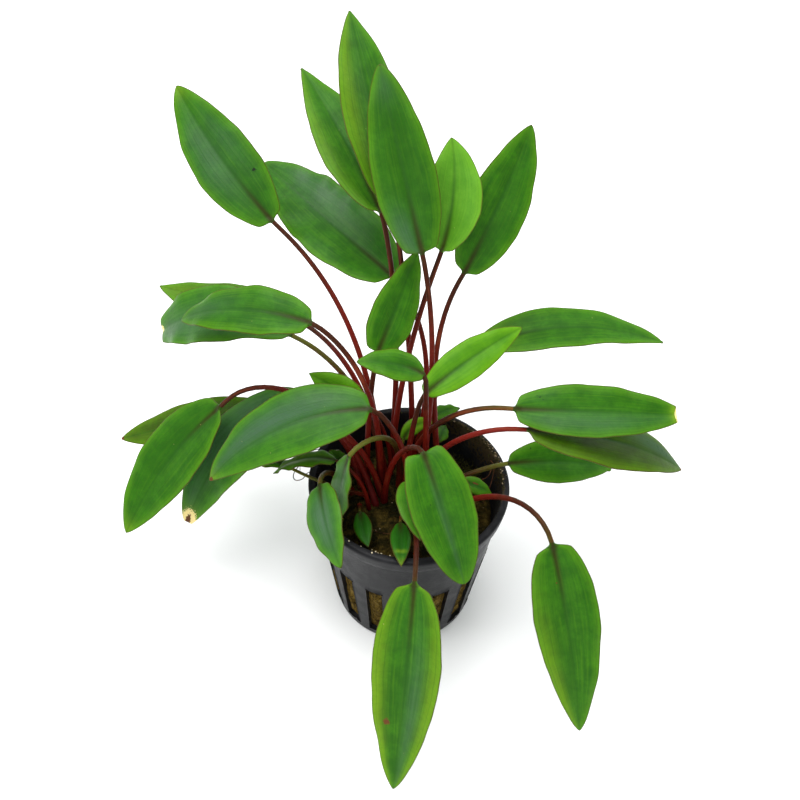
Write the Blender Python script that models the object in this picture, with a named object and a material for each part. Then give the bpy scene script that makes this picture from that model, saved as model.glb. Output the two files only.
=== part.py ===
"""Potted cryptocoryne: a rosette of stalked leaves growing from a mineral wool plug in a net pot.

The origin is the centre of the pot's foot on the floor, +Z is up and -Y is the front.
Headings are compass angles: 0 points to the back (+Y) and 90 to the right (+X).
Leaf sizes are in millimetres and degrees, and everything that is built is in metres.
"""

import math
from dataclasses import dataclass

import bmesh
import bpy
from mathutils import Matrix, Vector

MM = 0.001

# Net pot
POT_HEIGHT = 48.5 * MM
POT_RIM_RADIUS = 27.0 * MM
POT_FOOT_RADIUS = 20.0 * MM
POT_WALL = 1.2 * MM
POT_FLOOR = 1.5 * MM
POT_LIP_HEIGHT = 4.5 * MM
POT_LIP_STEP = 0.9 * MM
POT_LIP_ROUND = 0.5 * MM
POT_SIDES = 48
SLOT_COUNT = 16
SLOT_WIDTH = 4.6 * MM
SLOT_BOTTOM = 3.0 * MM
SLOT_TOP = 27.0 * MM
SLOT_FIRST_ANGLE = 2.0

# Mineral wool plug
FIT_GAP = 0.3 * MM
WOOL_TOP = 41.7 * MM
WOOL_TOP_RADIUS = 16.5 * MM
WOOL_EDGE_RADIUS = 21.3 * MM
WOOL_EDGE_HEIGHT = 37.5 * MM
WOOL_MEETS_WALL = 29.0 * MM
WOOL_SIDES = 48

# Leaves
LEAF_BASE_HEIGHT = WOOL_TOP + FIT_GAP
NECK_SHARE = 0.72
BLADE_RIB = 1.0 * MM
BLADE_MARGIN = 0.5 * MM
TIP_HALF_WIDTH = 0.4 * MM
BLADE_FOLD = 12.0
SECTION_ANGLES = (30, 90, 150, 210, 270, 330)
LONG_STALK = 30.0
LONG_STALK_STEPS = 8
SHORT_STALK_STEPS = 5
LONG_BLADE = 20.0
LONG_BLADE_STEPS = 9
SHORT_BLADE_STEPS = 6
RIB_TAPER = 0.5
CREASE_ANGLE = 60.0

TONES = {
    "green": (0.075, 0.27, 0.022),
    "pale": (0.16, 0.36, 0.05),
    "bright": (0.19, 0.42, 0.03),
    "bluish": (0.07, 0.22, 0.07),
    "bronze": (0.12, 0.2, 0.03),
    "dark": (0.03, 0.15, 0.02),
}
STALK_RED = (0.19, 0.025, 0.014)
POT_BLACK = (0.012, 0.012, 0.014)
WOOL_BROWN = (0.2, 0.12, 0.03)
POT_ROUGHNESS = 0.42
WOOL_ROUGHNESS = 0.95
STALK_ROUGHNESS = 0.4
BLADE_ROUGHNESS = 0.38
WELD_DISTANCE = 0.00001


@dataclass(frozen=True)
class Stalk:
    """A leaf stalk: where it points and how it bends from the wool to the blade."""

    heading: float
    turn: float
    length: float
    rise: float
    neck: float
    bend: float = 1.5
    thickness: float = 1.7


@dataclass(frozen=True)
class Blade:
    """A leaf blade: its size, its arch from start to tip and its turn about the midrib."""

    length: float
    width: float
    start: float
    tip: float
    sweep: float
    roll: float
    twist: float
    belly: float = 0.42
    fullness: float = 0.75


@dataclass(frozen=True)
class Leaf:
    """One grown leaf, stalk and blade together."""

    name: str
    root: tuple
    stalk: Stalk
    blade: Blade
    tone: str = "green"


LEAVES = (
    Leaf("leaf_back_tall", root=(1, 11.5),
         stalk=Stalk(heading=-16, turn=-8, length=72, rise=80, neck=63),
         blade=Blade(length=52, width=17.5, start=53, tip=29, sweep=8, roll=-15, twist=2,
                     belly=0.44, fullness=0.8)),
    Leaf("leaf_back_left", root=(-5, 12.5),
         stalk=Stalk(heading=13, turn=-41, length=71.5, rise=82, neck=57),
         blade=Blade(length=48, width=16, start=24, tip=20, sweep=-6, roll=8, twist=-3,
                     belly=0.4, fullness=0.85)),
    Leaf("leaf_back_centre", root=(3.5, 5),
         stalk=Stalk(heading=26, turn=-58, length=66.5, rise=83, neck=63, bend=1.2),
         blade=Blade(length=44.5, width=15.5, start=59, tip=49, sweep=10, roll=20, twist=7,
                     belly=0.4, fullness=0.6)),
    Leaf("leaf_back_pale", root=(-5, 10), tone="pale",
         stalk=Stalk(heading=30, turn=-2, length=65, rise=87, neck=46, bend=1.4),
         blade=Blade(length=28, width=15, start=57, tip=47, sweep=-46, roll=0, twist=1, belly=0.44)),
    Leaf("leaf_back_right", root=(8, 7),
         stalk=Stalk(heading=-50, turn=90, length=60, rise=84, neck=37, bend=1.4),
         blade=Blade(length=40, width=16, start=47, tip=54, sweep=-9, roll=-36, twist=-1, fullness=0.7)),
    Leaf("leaf_top_left", root=(-8, 6.5),
         stalk=Stalk(heading=-8, turn=-53, length=77, rise=69, neck=27, bend=0.9),
         blade=Blade(length=44.5, width=18, start=39, tip=29, sweep=26, roll=43, twist=2, fullness=0.7)),
    Leaf("leaf_centre_left", root=(0, 8),
         stalk=Stalk(heading=41, turn=-90, length=57, rise=69, neck=29, bend=1.4),
         blade=Blade(length=58, width=22, start=13, tip=4, sweep=10, roll=14, twist=13,
                     belly=0.4, fullness=0.65)),
    Leaf("leaf_mid_left_back", root=(-7, 9),
         stalk=Stalk(heading=-23, turn=-37, length=50, rise=62, neck=4, bend=1.6),
         blade=Blade(length=54.5, width=18, start=-14, tip=-10, sweep=1, roll=1, twist=3, fullness=0.8)),
    Leaf("leaf_mid_left_under", root=(-6.5, 4.5), tone="bluish",
         stalk=Stalk(heading=-31, turn=-40, length=51, rise=78, neck=12, bend=1.3),
         blade=Blade(length=47, width=18, start=15, tip=-51, sweep=5, roll=7, twist=38, belly=0.48)),
    Leaf("leaf_mid_left_front", root=(-7.5, 2.5),
         stalk=Stalk(heading=-41, turn=-32, length=57, rise=88, neck=26, bend=2.2),
         blade=Blade(length=41.5, width=13.5, start=6, tip=-41, sweep=7, roll=25, twist=1,
                     belly=0.4, fullness=0.65)),
    Leaf("leaf_left_rear", root=(-13, 2.5), tone="bronze",
         stalk=Stalk(heading=-23, turn=-65, length=40, rise=58, neck=-22, bend=1),
         blade=Blade(length=45.5, width=13.5, start=-21, tip=-20, sweep=-4, roll=12, twist=9,
                     belly=0.44, fullness=0.7)),
    Leaf("leaf_left_drooping", root=(-9, -3),
         stalk=Stalk(heading=-32, turn=-73, length=60, rise=56, neck=-57, bend=2.4),
         blade=Blade(length=47.5, width=19, start=-41, tip=-51, sweep=-36, roll=15, twist=3,
                     belly=0.4, fullness=0.7)),
    Leaf("leaf_left_burnt_tip", root=(-7.5, 0), tone="bluish",
         stalk=Stalk(heading=-63, turn=-12, length=35, rise=78, neck=8, bend=1.3),
         blade=Blade(length=53.5, width=20.5, start=-31, tip=-62, sweep=-67, roll=13, twist=6,
                     belly=0.32, fullness=0.65)),
    Leaf("leaf_left_broad", root=(0, -1), tone="bluish",
         stalk=Stalk(heading=-85, turn=-6, length=36, rise=88, neck=48, bend=1.9),
         blade=Blade(length=48.5, width=17.5, start=-3, tip=-51, sweep=-19, roll=24, twist=5, belly=0.38)),
    Leaf("leaf_left_bright", root=(-5, 7.5), tone="bright",
         stalk=Stalk(heading=-73, turn=-2, length=27, rise=88, neck=49, bend=1.7, thickness=1.1),
         blade=Blade(length=16.5, width=8, start=20, tip=10, sweep=11, roll=48, twist=7, fullness=0.8)),
    Leaf("leaf_left_under", root=(-10.5, -5),
         stalk=Stalk(heading=-68, turn=-13, length=19.5, rise=84, neck=30, thickness=1.1),
         blade=Blade(length=18.5, width=7.5, start=8, tip=-49, sweep=-20, roll=-11, twist=-11,
                     belly=0.4, fullness=0.8)),
    Leaf("leaf_left_hidden", root=(-11, -1),
         stalk=Stalk(heading=-117, turn=60, length=25.5, rise=39, neck=-2, bend=1.4, thickness=1.1),
         blade=Blade(length=18, width=6.5, start=-9, tip=-24, sweep=4, roll=2, twist=0, fullness=0.8)),
    Leaf("leaf_left_tiny", root=(-15, 9),
         stalk=Stalk(heading=-125, turn=-12, length=8.5, rise=59, neck=43, bend=1.3, thickness=1.1),
         blade=Blade(length=8, width=5, start=68, tip=58, sweep=-6, roll=-50, twist=-8, fullness=0.8)),
    Leaf("leaf_centre_upright", root=(-11.5, 4.5),
         stalk=Stalk(heading=2, turn=29, length=43, rise=88, neck=73, bend=1.6),
         blade=Blade(length=27, width=12, start=47, tip=38, sweep=-9, roll=-35, twist=-14,
                     belly=0.36, fullness=0.7)),
    Leaf("leaf_centre_small", root=(4.5, 2),
         stalk=Stalk(heading=-103, turn=6, length=44, rise=88, neck=87, bend=1.4),
         blade=Blade(length=17, width=8.5, start=34, tip=-6, sweep=5, roll=19, twist=2,
                     belly=0.4, fullness=0.7)),
    Leaf("leaf_right_light", root=(-1, 1), tone="bright",
         stalk=Stalk(heading=10, turn=49, length=34, rise=86, neck=73, bend=1.7),
         blade=Blade(length=30.5, width=10, start=31, tip=10, sweep=-1, roll=-25, twist=-10,
                     fullness=0.7)),
    Leaf("leaf_young_curled", root=(-2.5, 5.5), tone="bright",
         stalk=Stalk(heading=-15, turn=53, length=13.5, rise=76, neck=85, thickness=1.1),
         blade=Blade(length=10.5, width=4.5, start=57, tip=-26, sweep=47, roll=-39, twist=-12,
                     belly=0.4, fullness=0.8)),
    Leaf("leaf_behind_small", root=(4.5, 11.5),
         stalk=Stalk(heading=-45, turn=90, length=14, rise=76, neck=33, bend=1.7, thickness=1.1),
         blade=Blade(length=9.5, width=5.5, start=11, tip=-17, sweep=26, roll=-1, twist=0, fullness=0.8)),
    Leaf("leaf_behind_tiny", root=(6.5, 10),
         stalk=Stalk(heading=15, turn=7, length=8.5, rise=84, neck=51, thickness=1.1),
         blade=Blade(length=8, width=4.5, start=1, tip=-26, sweep=-8, roll=-23, twist=-2,
                     belly=0.44, fullness=0.8)),
    Leaf("leaf_right_long", root=(5.5, 7),
         stalk=Stalk(heading=-24, turn=90, length=41, rise=62, neck=15),
         blade=Blade(length=53, width=15, start=13, tip=-11, sweep=38, roll=-8, twist=0, belly=0.4)),
    Leaf("leaf_right_level", root=(-0.5, 5),
         stalk=Stalk(heading=102, turn=-6, length=47, rise=87, neck=-3, bend=1.6),
         blade=Blade(length=41.5, width=14, start=7, tip=-11, sweep=-17, roll=-26, twist=-4,
                     belly=0.4, fullness=0.6)),
    Leaf("leaf_right_glossy", root=(2.5, -0.5), tone="bronze",
         stalk=Stalk(heading=106, turn=-19, length=45, rise=88, neck=-10),
         blade=Blade(length=48.5, width=16.5, start=-2, tip=-42, sweep=-6, roll=-11, twist=-4)),
    Leaf("leaf_right_low", root=(5, -0.5),
         stalk=Stalk(heading=84, turn=-10, length=24.5, rise=49, neck=0, bend=1.1),
         blade=Blade(length=35, width=12.5, start=-6, tip=-31, sweep=-2, roll=-33, twist=-2)),
    Leaf("leaf_rim_right", root=(2, -2.5),
         stalk=Stalk(heading=116, turn=-37, length=16.5, rise=67, neck=8, bend=1.4, thickness=1.1),
         blade=Blade(length=10.5, width=5, start=-24, tip=-44, sweep=11, roll=-26, twist=-6,
                     fullness=0.8)),
    Leaf("leaf_right_hanging", root=(6.5, -7.5),
         stalk=Stalk(heading=81, turn=74, length=41.5, rise=44, neck=-40, bend=2.7),
         blade=Blade(length=51.5, width=17, start=-50, tip=-60, sweep=7, roll=-12, twist=6,
                     belly=0.36, fullness=0.7)),
    Leaf("leaf_rim_left_back", root=(-2.5, 3.5),
         stalk=Stalk(heading=-148, turn=17, length=38.5, rise=88, neck=-28, bend=2.4),
         blade=Blade(length=25.5, width=9, start=-73, tip=-89, sweep=-7, roll=-13, twist=-2,
                     fullness=0.85)),
    Leaf("leaf_rim_left", root=(-16, 1), tone="bluish",
         stalk=Stalk(heading=-97, turn=-90, length=22.5, rise=68, neck=12, bend=1.7),
         blade=Blade(length=23.5, width=10.5, start=2, tip=-23, sweep=-21, roll=-32, twist=-15,
                     belly=0.4, fullness=0.65)),
    Leaf("leaf_front_hanging", root=(0.5, -6),
         stalk=Stalk(heading=170, turn=13, length=34, rise=57, neck=-31, bend=1.4),
         blade=Blade(length=53.5, width=18, start=-48, tip=-58, sweep=5, roll=-21, twist=9,
                     belly=0.38, fullness=0.7)),
    Leaf("leaf_front_broad", root=(-6.5, -2),
         stalk=Stalk(heading=101, turn=52, length=36, rise=87, neck=31, bend=1.8),
         blade=Blade(length=34, width=16, start=-35, tip=-58, sweep=-5, roll=-9, twist=-5,
                     belly=0.38, fullness=0.55)),
    Leaf("leaf_front_tucked", root=(-0.5, -3.5),
         stalk=Stalk(heading=-174, turn=-11, length=19, rise=88, neck=48, thickness=1.1),
         blade=Blade(length=17.5, width=8, start=6, tip=-18, sweep=-12, roll=6, twist=5,
                     belly=0.4, fullness=0.8)),
    Leaf("leaf_wool_left", root=(-13, -4.5), tone="dark",
         stalk=Stalk(heading=178, turn=-6, length=5.5, rise=50, neck=18, bend=1.4, thickness=1.1),
         blade=Blade(length=11.5, width=5, start=7, tip=-9, sweep=-12, roll=-8, twist=-3, fullness=0.8)),
    Leaf("leaf_wool_front", root=(-1.5, -8), tone="dark",
         stalk=Stalk(heading=-171, turn=-10, length=9, rise=57, neck=30, bend=1.4, thickness=1.1),
         blade=Blade(length=15, width=5.5, start=20, tip=-4, sweep=-2, roll=1, twist=1, fullness=0.8)),
)


def clear_scene():
    """Remove whatever objects the scene starts with."""
    for item in list(bpy.data.objects):
        bpy.data.objects.remove(item, do_unlink=True)


def material(name, colour, roughness, metallic=0.0):
    """A plain finish with one colour, one roughness and one metallic value."""
    finish = bpy.data.materials.new(name)
    finish.use_nodes = True
    shader = finish.node_tree.nodes["Principled BSDF"]
    shader.inputs["Base Color"].default_value = (*colour, 1.0)
    shader.inputs["Roughness"].default_value = roughness
    shader.inputs["Metallic"].default_value = metallic
    finish.diffuse_color = (*colour, 1.0)
    return finish


def add_object(name, mesh, *finishes):
    """Link a mesh to the scene as a named object with its finishes."""
    item = bpy.data.objects.new(name, mesh)
    bpy.context.scene.collection.objects.link(item)
    for finish in finishes:
        mesh.materials.append(finish)
    return item


def turned_piece(name, profile, sides, finish):
    """A piece turned about Z from a profile of (radius, height) points on the +X side."""
    mesh = bpy.data.meshes.new(name)
    points = [(radius, 0.0, height) for radius, height in profile]
    mesh.from_pydata(points, [(i, i + 1) for i in range(len(points) - 1)], [])
    item = add_object(name, mesh, finish)
    screw = item.modifiers.new("turn", "SCREW")
    screw.steps = sides
    screw.render_steps = sides
    screw.use_merge_vertices = True
    screw.merge_threshold = WELD_DISTANCE
    screw.use_smooth_shade = True
    return item


def wall_radius(height):
    """Outer radius of the pot's tapered wall at a height."""
    share = height / POT_HEIGHT
    return POT_FOOT_RADIUS + (POT_RIM_RADIUS - POT_LIP_STEP - POT_FOOT_RADIUS) * share


def pot_profile():
    """Half section of the pot, from the floor's middle up the inside, over the lip and down."""
    lip_under = POT_HEIGHT - POT_LIP_HEIGHT
    inner_top = wall_radius(POT_HEIGHT) - POT_WALL
    inner_floor = wall_radius(POT_FLOOR) - POT_WALL
    return [
        (0.0, POT_FLOOR),
        (inner_floor, POT_FLOOR),
        (inner_top, POT_HEIGHT - POT_LIP_ROUND),
        (inner_top + POT_LIP_ROUND, POT_HEIGHT),
        (POT_RIM_RADIUS - POT_LIP_ROUND, POT_HEIGHT),
        (POT_RIM_RADIUS, POT_HEIGHT - POT_LIP_ROUND),
        (wall_radius(lip_under) + POT_LIP_STEP, lip_under),
        (wall_radius(lip_under), lip_under - POT_LIP_STEP / 2),
        (POT_FOOT_RADIUS + POT_LIP_ROUND / 3, POT_LIP_ROUND),
        (POT_FOOT_RADIUS - POT_LIP_ROUND, 0.0),
        (0.0, 0.0),
    ]


def slot_cutter():
    """All the slots of the pot's wall as upright bars that stand across it."""
    mesh = bpy.data.meshes.new("slot_cutter")
    shape = bmesh.new()
    depth = POT_RIM_RADIUS / 2
    height = SLOT_TOP - SLOT_BOTTOM
    for slot in range(SLOT_COUNT):
        angle = math.radians(SLOT_FIRST_ANGLE + slot * 360 / SLOT_COUNT)
        place = Matrix.Rotation(angle, 4, "Z") @ Matrix.Translation(
            (0, -POT_FOOT_RADIUS - POT_WALL, SLOT_BOTTOM + height / 2)
        )
        size = Matrix.Diagonal((SLOT_WIDTH, depth, height, 1))
        bmesh.ops.create_cube(shape, size=1.0, matrix=place @ size)
    shape.to_mesh(mesh)
    shape.free()
    cutter = add_object("slot_cutter", mesh)
    cutter.hide_render = True
    cutter.display_type = "WIRE"
    return cutter


def build_pot():
    """The net pot: one thin tapered moulding with a lip, a ring of slots and a plain floor."""
    finish = material("pot_plastic", POT_BLACK, POT_ROUGHNESS)
    pot = turned_piece("net_pot", pot_profile(), POT_SIDES, finish)
    cut = pot.modifiers.new("slots", "BOOLEAN")
    cut.operation = "DIFFERENCE"
    cut.solver = "EXACT"
    cut.object = slot_cutter()
    return pot


def wool_profile():
    """Half section of the wool plug, from the top's middle down its side to the bottom's middle."""
    bottom = POT_FLOOR + FIT_GAP

    def against_wall(height):
        """Radius that leaves the fitting gap inside the pot's wall."""
        return wall_radius(height) - POT_WALL - FIT_GAP

    return [
        (0.0, WOOL_TOP),
        (WOOL_TOP_RADIUS, WOOL_TOP),
        ((WOOL_TOP_RADIUS + WOOL_EDGE_RADIUS) / 2, (2 * WOOL_TOP + WOOL_EDGE_HEIGHT) / 3),
        (WOOL_EDGE_RADIUS, WOOL_EDGE_HEIGHT),
        (against_wall(WOOL_MEETS_WALL), WOOL_MEETS_WALL),
        (against_wall(bottom), bottom),
        (0.0, bottom),
    ]


def build_wool():
    """The mineral wool plug that fills the pot and holds the roots."""
    finish = material("wool", WOOL_BROWN, WOOL_ROUGHNESS)
    return turned_piece("mineral_wool", wool_profile(), WOOL_SIDES, finish)


def direction(heading, rise):
    """Unit vector for a compass heading and a rise above level, both in radians."""
    return Vector((
        math.sin(heading) * math.cos(rise),
        math.cos(heading) * math.cos(rise),
        math.sin(rise),
    ))


def walk(start, length, steps, heading_at, rise_at):
    """Points along a curve whose heading and rise are given for each share of its length."""
    points = [start]
    for step in range(steps):
        share = (step + 0.5) / steps
        course = direction(math.radians(heading_at(share)), math.radians(rise_at(share)))
        points.append(points[-1] + course * (length * MM / steps))
    return points


def cross_frame(heading, rise, roll):
    """Side and upper directions across a stalk or blade, turned about it by the roll."""
    along = direction(math.radians(heading), math.radians(rise))
    level_side = Vector((math.cos(math.radians(heading)), -math.sin(math.radians(heading)), 0.0))
    upper = level_side.cross(along)
    angle = math.radians(roll)
    side = level_side * math.cos(angle) + upper * math.sin(angle)
    return side, side.cross(along)


def blade_half_width(blade, share):
    """Half the blade's width at a share of its length from the stalk."""
    power = math.log(0.5) / math.log(blade.belly)
    swell = max(math.sin(math.pi * share ** power), 0.0)
    return blade.width * MM / 2 * swell ** blade.fullness


def stalk_rings(leaf):
    """Six-sided rings from the wool to the neck, and the neck's middle."""
    stalk = leaf.stalk
    steps = LONG_STALK_STEPS if stalk.length >= LONG_STALK else SHORT_STALK_STEPS

    def rise_at(share):
        return stalk.rise + (stalk.neck - stalk.rise) * share ** stalk.bend

    def heading_at(share):
        return stalk.heading + stalk.turn * share

    start = Vector((leaf.root[0] * MM, leaf.root[1] * MM, LEAF_BASE_HEIGHT))
    middles = walk(start, stalk.length, steps, heading_at, rise_at)
    rings = []
    for index, middle in enumerate(middles):
        share = index / steps
        radius = stalk.thickness * MM / 2 * (1 + (NECK_SHARE - 1) * share)
        # The first ring is level, so the stalk stands flat on the wool
        rise = 90.0 if index == 0 else rise_at(share)
        side, upper = cross_frame(heading_at(share), rise, leaf.blade.roll * share)
        rings.append([
            middle + side * (radius * math.cos(math.radians(angle)))
            + upper * (radius * math.sin(math.radians(angle)))
            for angle in SECTION_ANGLES
        ])
    return rings, middles[-1]


def blade_rings(leaf, start):
    """Six-cornered sections of the blade: two edge corners a side, a rib above and below."""
    blade = leaf.blade
    steps = LONG_BLADE_STEPS if blade.length >= LONG_BLADE else SHORT_BLADE_STEPS
    first_heading = leaf.stalk.heading + leaf.stalk.turn
    neck_radius = leaf.stalk.thickness * MM / 2 * NECK_SHARE

    def rise_at(share):
        return blade.start + (blade.tip - blade.start) * share

    def heading_at(share):
        return first_heading + blade.sweep * share

    middles = walk(start, blade.length, steps, heading_at, rise_at)
    fold = math.radians(BLADE_FOLD)
    rings = []
    for index in range(1, steps + 1):
        share = index / steps
        middle = middles[index]
        side, upper = cross_frame(heading_at(share), rise_at(share), blade.roll + blade.twist * share)
        half = max(blade_half_width(blade, share), TIP_HALF_WIDTH)
        rib = min(BLADE_RIB, neck_radius * 2) * (1 - RIB_TAPER * share) / 2
        margin = BLADE_MARGIN / 2
        right = middle + side * (half * math.cos(fold)) + upper * (half * math.sin(fold))
        left = middle - side * (half * math.cos(fold)) + upper * (half * math.sin(fold))
        rings.append([
            right + upper * margin,
            middle + upper * rib,
            left + upper * margin,
            left - upper * margin,
            middle - upper * rib,
            right - upper * margin,
        ])
    return rings


def build_leaf(leaf, finishes):
    """One leaf as a closed skin: stalk rings, blade rings and a cap at each end."""
    rings, neck = stalk_rings(leaf)
    stalk_count = len(rings)
    rings += blade_rings(leaf, neck)
    shape = bmesh.new()
    loops = [[shape.verts.new(point) for point in ring] for ring in rings]
    corners = len(SECTION_ANGLES)
    for index, (lower, upper) in enumerate(zip(loops, loops[1:])):
        for corner in range(corners):
            after = (corner + 1) % corners
            face = shape.faces.new((lower[corner], lower[after], upper[after], upper[corner]))
            face.material_index = 0 if index >= stalk_count - 1 else 1
    shape.faces.new(reversed(loops[0])).material_index = 1
    shape.faces.new(loops[-1]).material_index = 0
    bmesh.ops.triangulate(shape, faces=shape.faces[:])
    bmesh.ops.recalc_face_normals(shape, faces=shape.faces[:])
    mesh = bpy.data.meshes.new(leaf.name)
    shape.to_mesh(mesh)
    shape.free()
    mesh.shade_smooth()
    mesh.set_sharp_from_angle(angle=math.radians(CREASE_ANGLE))
    return add_object(leaf.name, mesh, *finishes)


def main():
    """Build the pot, the wool and every leaf."""
    clear_scene()
    build_pot()
    build_wool()
    stalk_finish = material("stalk_red", STALK_RED, STALK_ROUGHNESS)
    blade_finishes = {
        tone: material("leaf_" + tone, colour, BLADE_ROUGHNESS) for tone, colour in TONES.items()
    }
    for leaf in LEAVES:
        build_leaf(leaf, (blade_finishes[leaf.tone], stalk_finish))


main()
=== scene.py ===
"""The dressed potted cryptocoryne: leaves, net pot, wool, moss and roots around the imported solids.

Lengths in the leaf table are millimetres and angles are degrees, as in the solids' own source.
Everything that is built is in metres. The origin is the centre of the pot's foot, +Z is up
and -Y is the front. Headings are compass angles: 0 points to the back and 90 to the right.
"""

import logging
import math
from dataclasses import dataclass
from enum import Enum
from typing import Iterable, Sequence

import bmesh
import bpy
import numpy as np
from mathutils import Matrix, Vector, noise


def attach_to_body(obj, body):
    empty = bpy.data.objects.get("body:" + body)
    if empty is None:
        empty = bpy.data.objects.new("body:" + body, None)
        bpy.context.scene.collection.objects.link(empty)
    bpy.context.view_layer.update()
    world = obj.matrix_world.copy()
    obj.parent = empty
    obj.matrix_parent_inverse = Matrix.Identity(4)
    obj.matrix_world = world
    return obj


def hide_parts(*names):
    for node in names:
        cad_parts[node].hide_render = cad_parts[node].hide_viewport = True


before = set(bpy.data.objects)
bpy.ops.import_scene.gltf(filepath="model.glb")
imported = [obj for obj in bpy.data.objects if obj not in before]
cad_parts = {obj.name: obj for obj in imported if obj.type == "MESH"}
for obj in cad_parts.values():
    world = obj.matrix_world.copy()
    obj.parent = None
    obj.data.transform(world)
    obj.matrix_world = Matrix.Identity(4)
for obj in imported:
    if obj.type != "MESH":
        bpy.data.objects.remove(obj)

MM = 0.001
BODY = "root"
LOG = logging.getLogger("potted_cryptocoryne")

Colour = tuple[float, float, float]
Value = float | Colour | bpy.types.NodeSocket
Faces = list[Sequence[int]]

WOOL_TOP = 41.7
LEAF_BASE_HEIGHT = 42.0
NECK_SHARE = 0.72
BLADE_FOLD = 12.0
SHARP_ANGLE = math.radians(55)


class Tone(Enum):
    """The green of a leaf's blade, by the record's material slot."""

    GREEN = "leaf_green"
    PALE = "leaf_pale"
    BRIGHT = "leaf_bright"
    BLUISH = "leaf_bluish"
    BRONZE = "leaf_bronze"
    DARK = "leaf_dark"


class Tint(Enum):
    """What a soft patch on a blade brings out, by its place in the paint attribute."""

    # painted reflection: a bluish-grey sheen blended into the blade's colour
    SHEEN = 0
    YELLOW = 1
    DARK = 2


class Scar(Enum):
    """What a hard-edged mark on a blade shows, by its place in the scar attribute."""

    BROWN = 0
    STRAW = 1
    BLACK = 2


@dataclass(frozen=True)
class Stalk:
    """A leaf's stalk: where it heads, how it rises and how thick it is."""

    heading: float
    turn: float
    length: float
    rise: float
    neck: float
    bend: float = 1.5
    thickness: float = 1.7


@dataclass(frozen=True)
class Blade:
    """A leaf's blade: its size, its slope from neck to tip, its roll and its outline."""

    length: float
    width: float
    start: float
    tip: float
    sweep: float
    roll: float
    twist: float
    belly: float = 0.42
    fullness: float = 0.75


@dataclass(frozen=True)
class Leaf:
    """One leaf of the rosette, with the values of its solid."""

    name: str
    root: tuple[float, float]
    stalk: Stalk
    blade: Blade
    tone: Tone = Tone.GREEN


@dataclass(frozen=True)
class Patch:
    """A soft patch on a blade, placed and sized by shares of its length and half width."""

    tint: Tint
    along: float
    across: float
    long: float
    wide: float
    strength: float = 1.0


@dataclass(frozen=True)
class Mark:
    """A hard-edged mark on a blade, placed by shares and sized in millimetres."""

    scar: Scar
    along: float
    across: float
    long: float
    wide: float
    slant: float = 0.0


@dataclass(frozen=True)
class Look:
    """What one blade shows beyond its solid: waves, curl, lobes, a lost or round tip and its marks."""

    wave: float = 0.45
    waves: float = 3.5
    curl: float = 0.9
    lobes: float = 0.6
    cut: float = 0.0
    round: float = 0.5
    olive: float = 0.0
    patches: tuple[Patch, ...] = ()
    marks: tuple[Mark, ...] = ()


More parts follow.
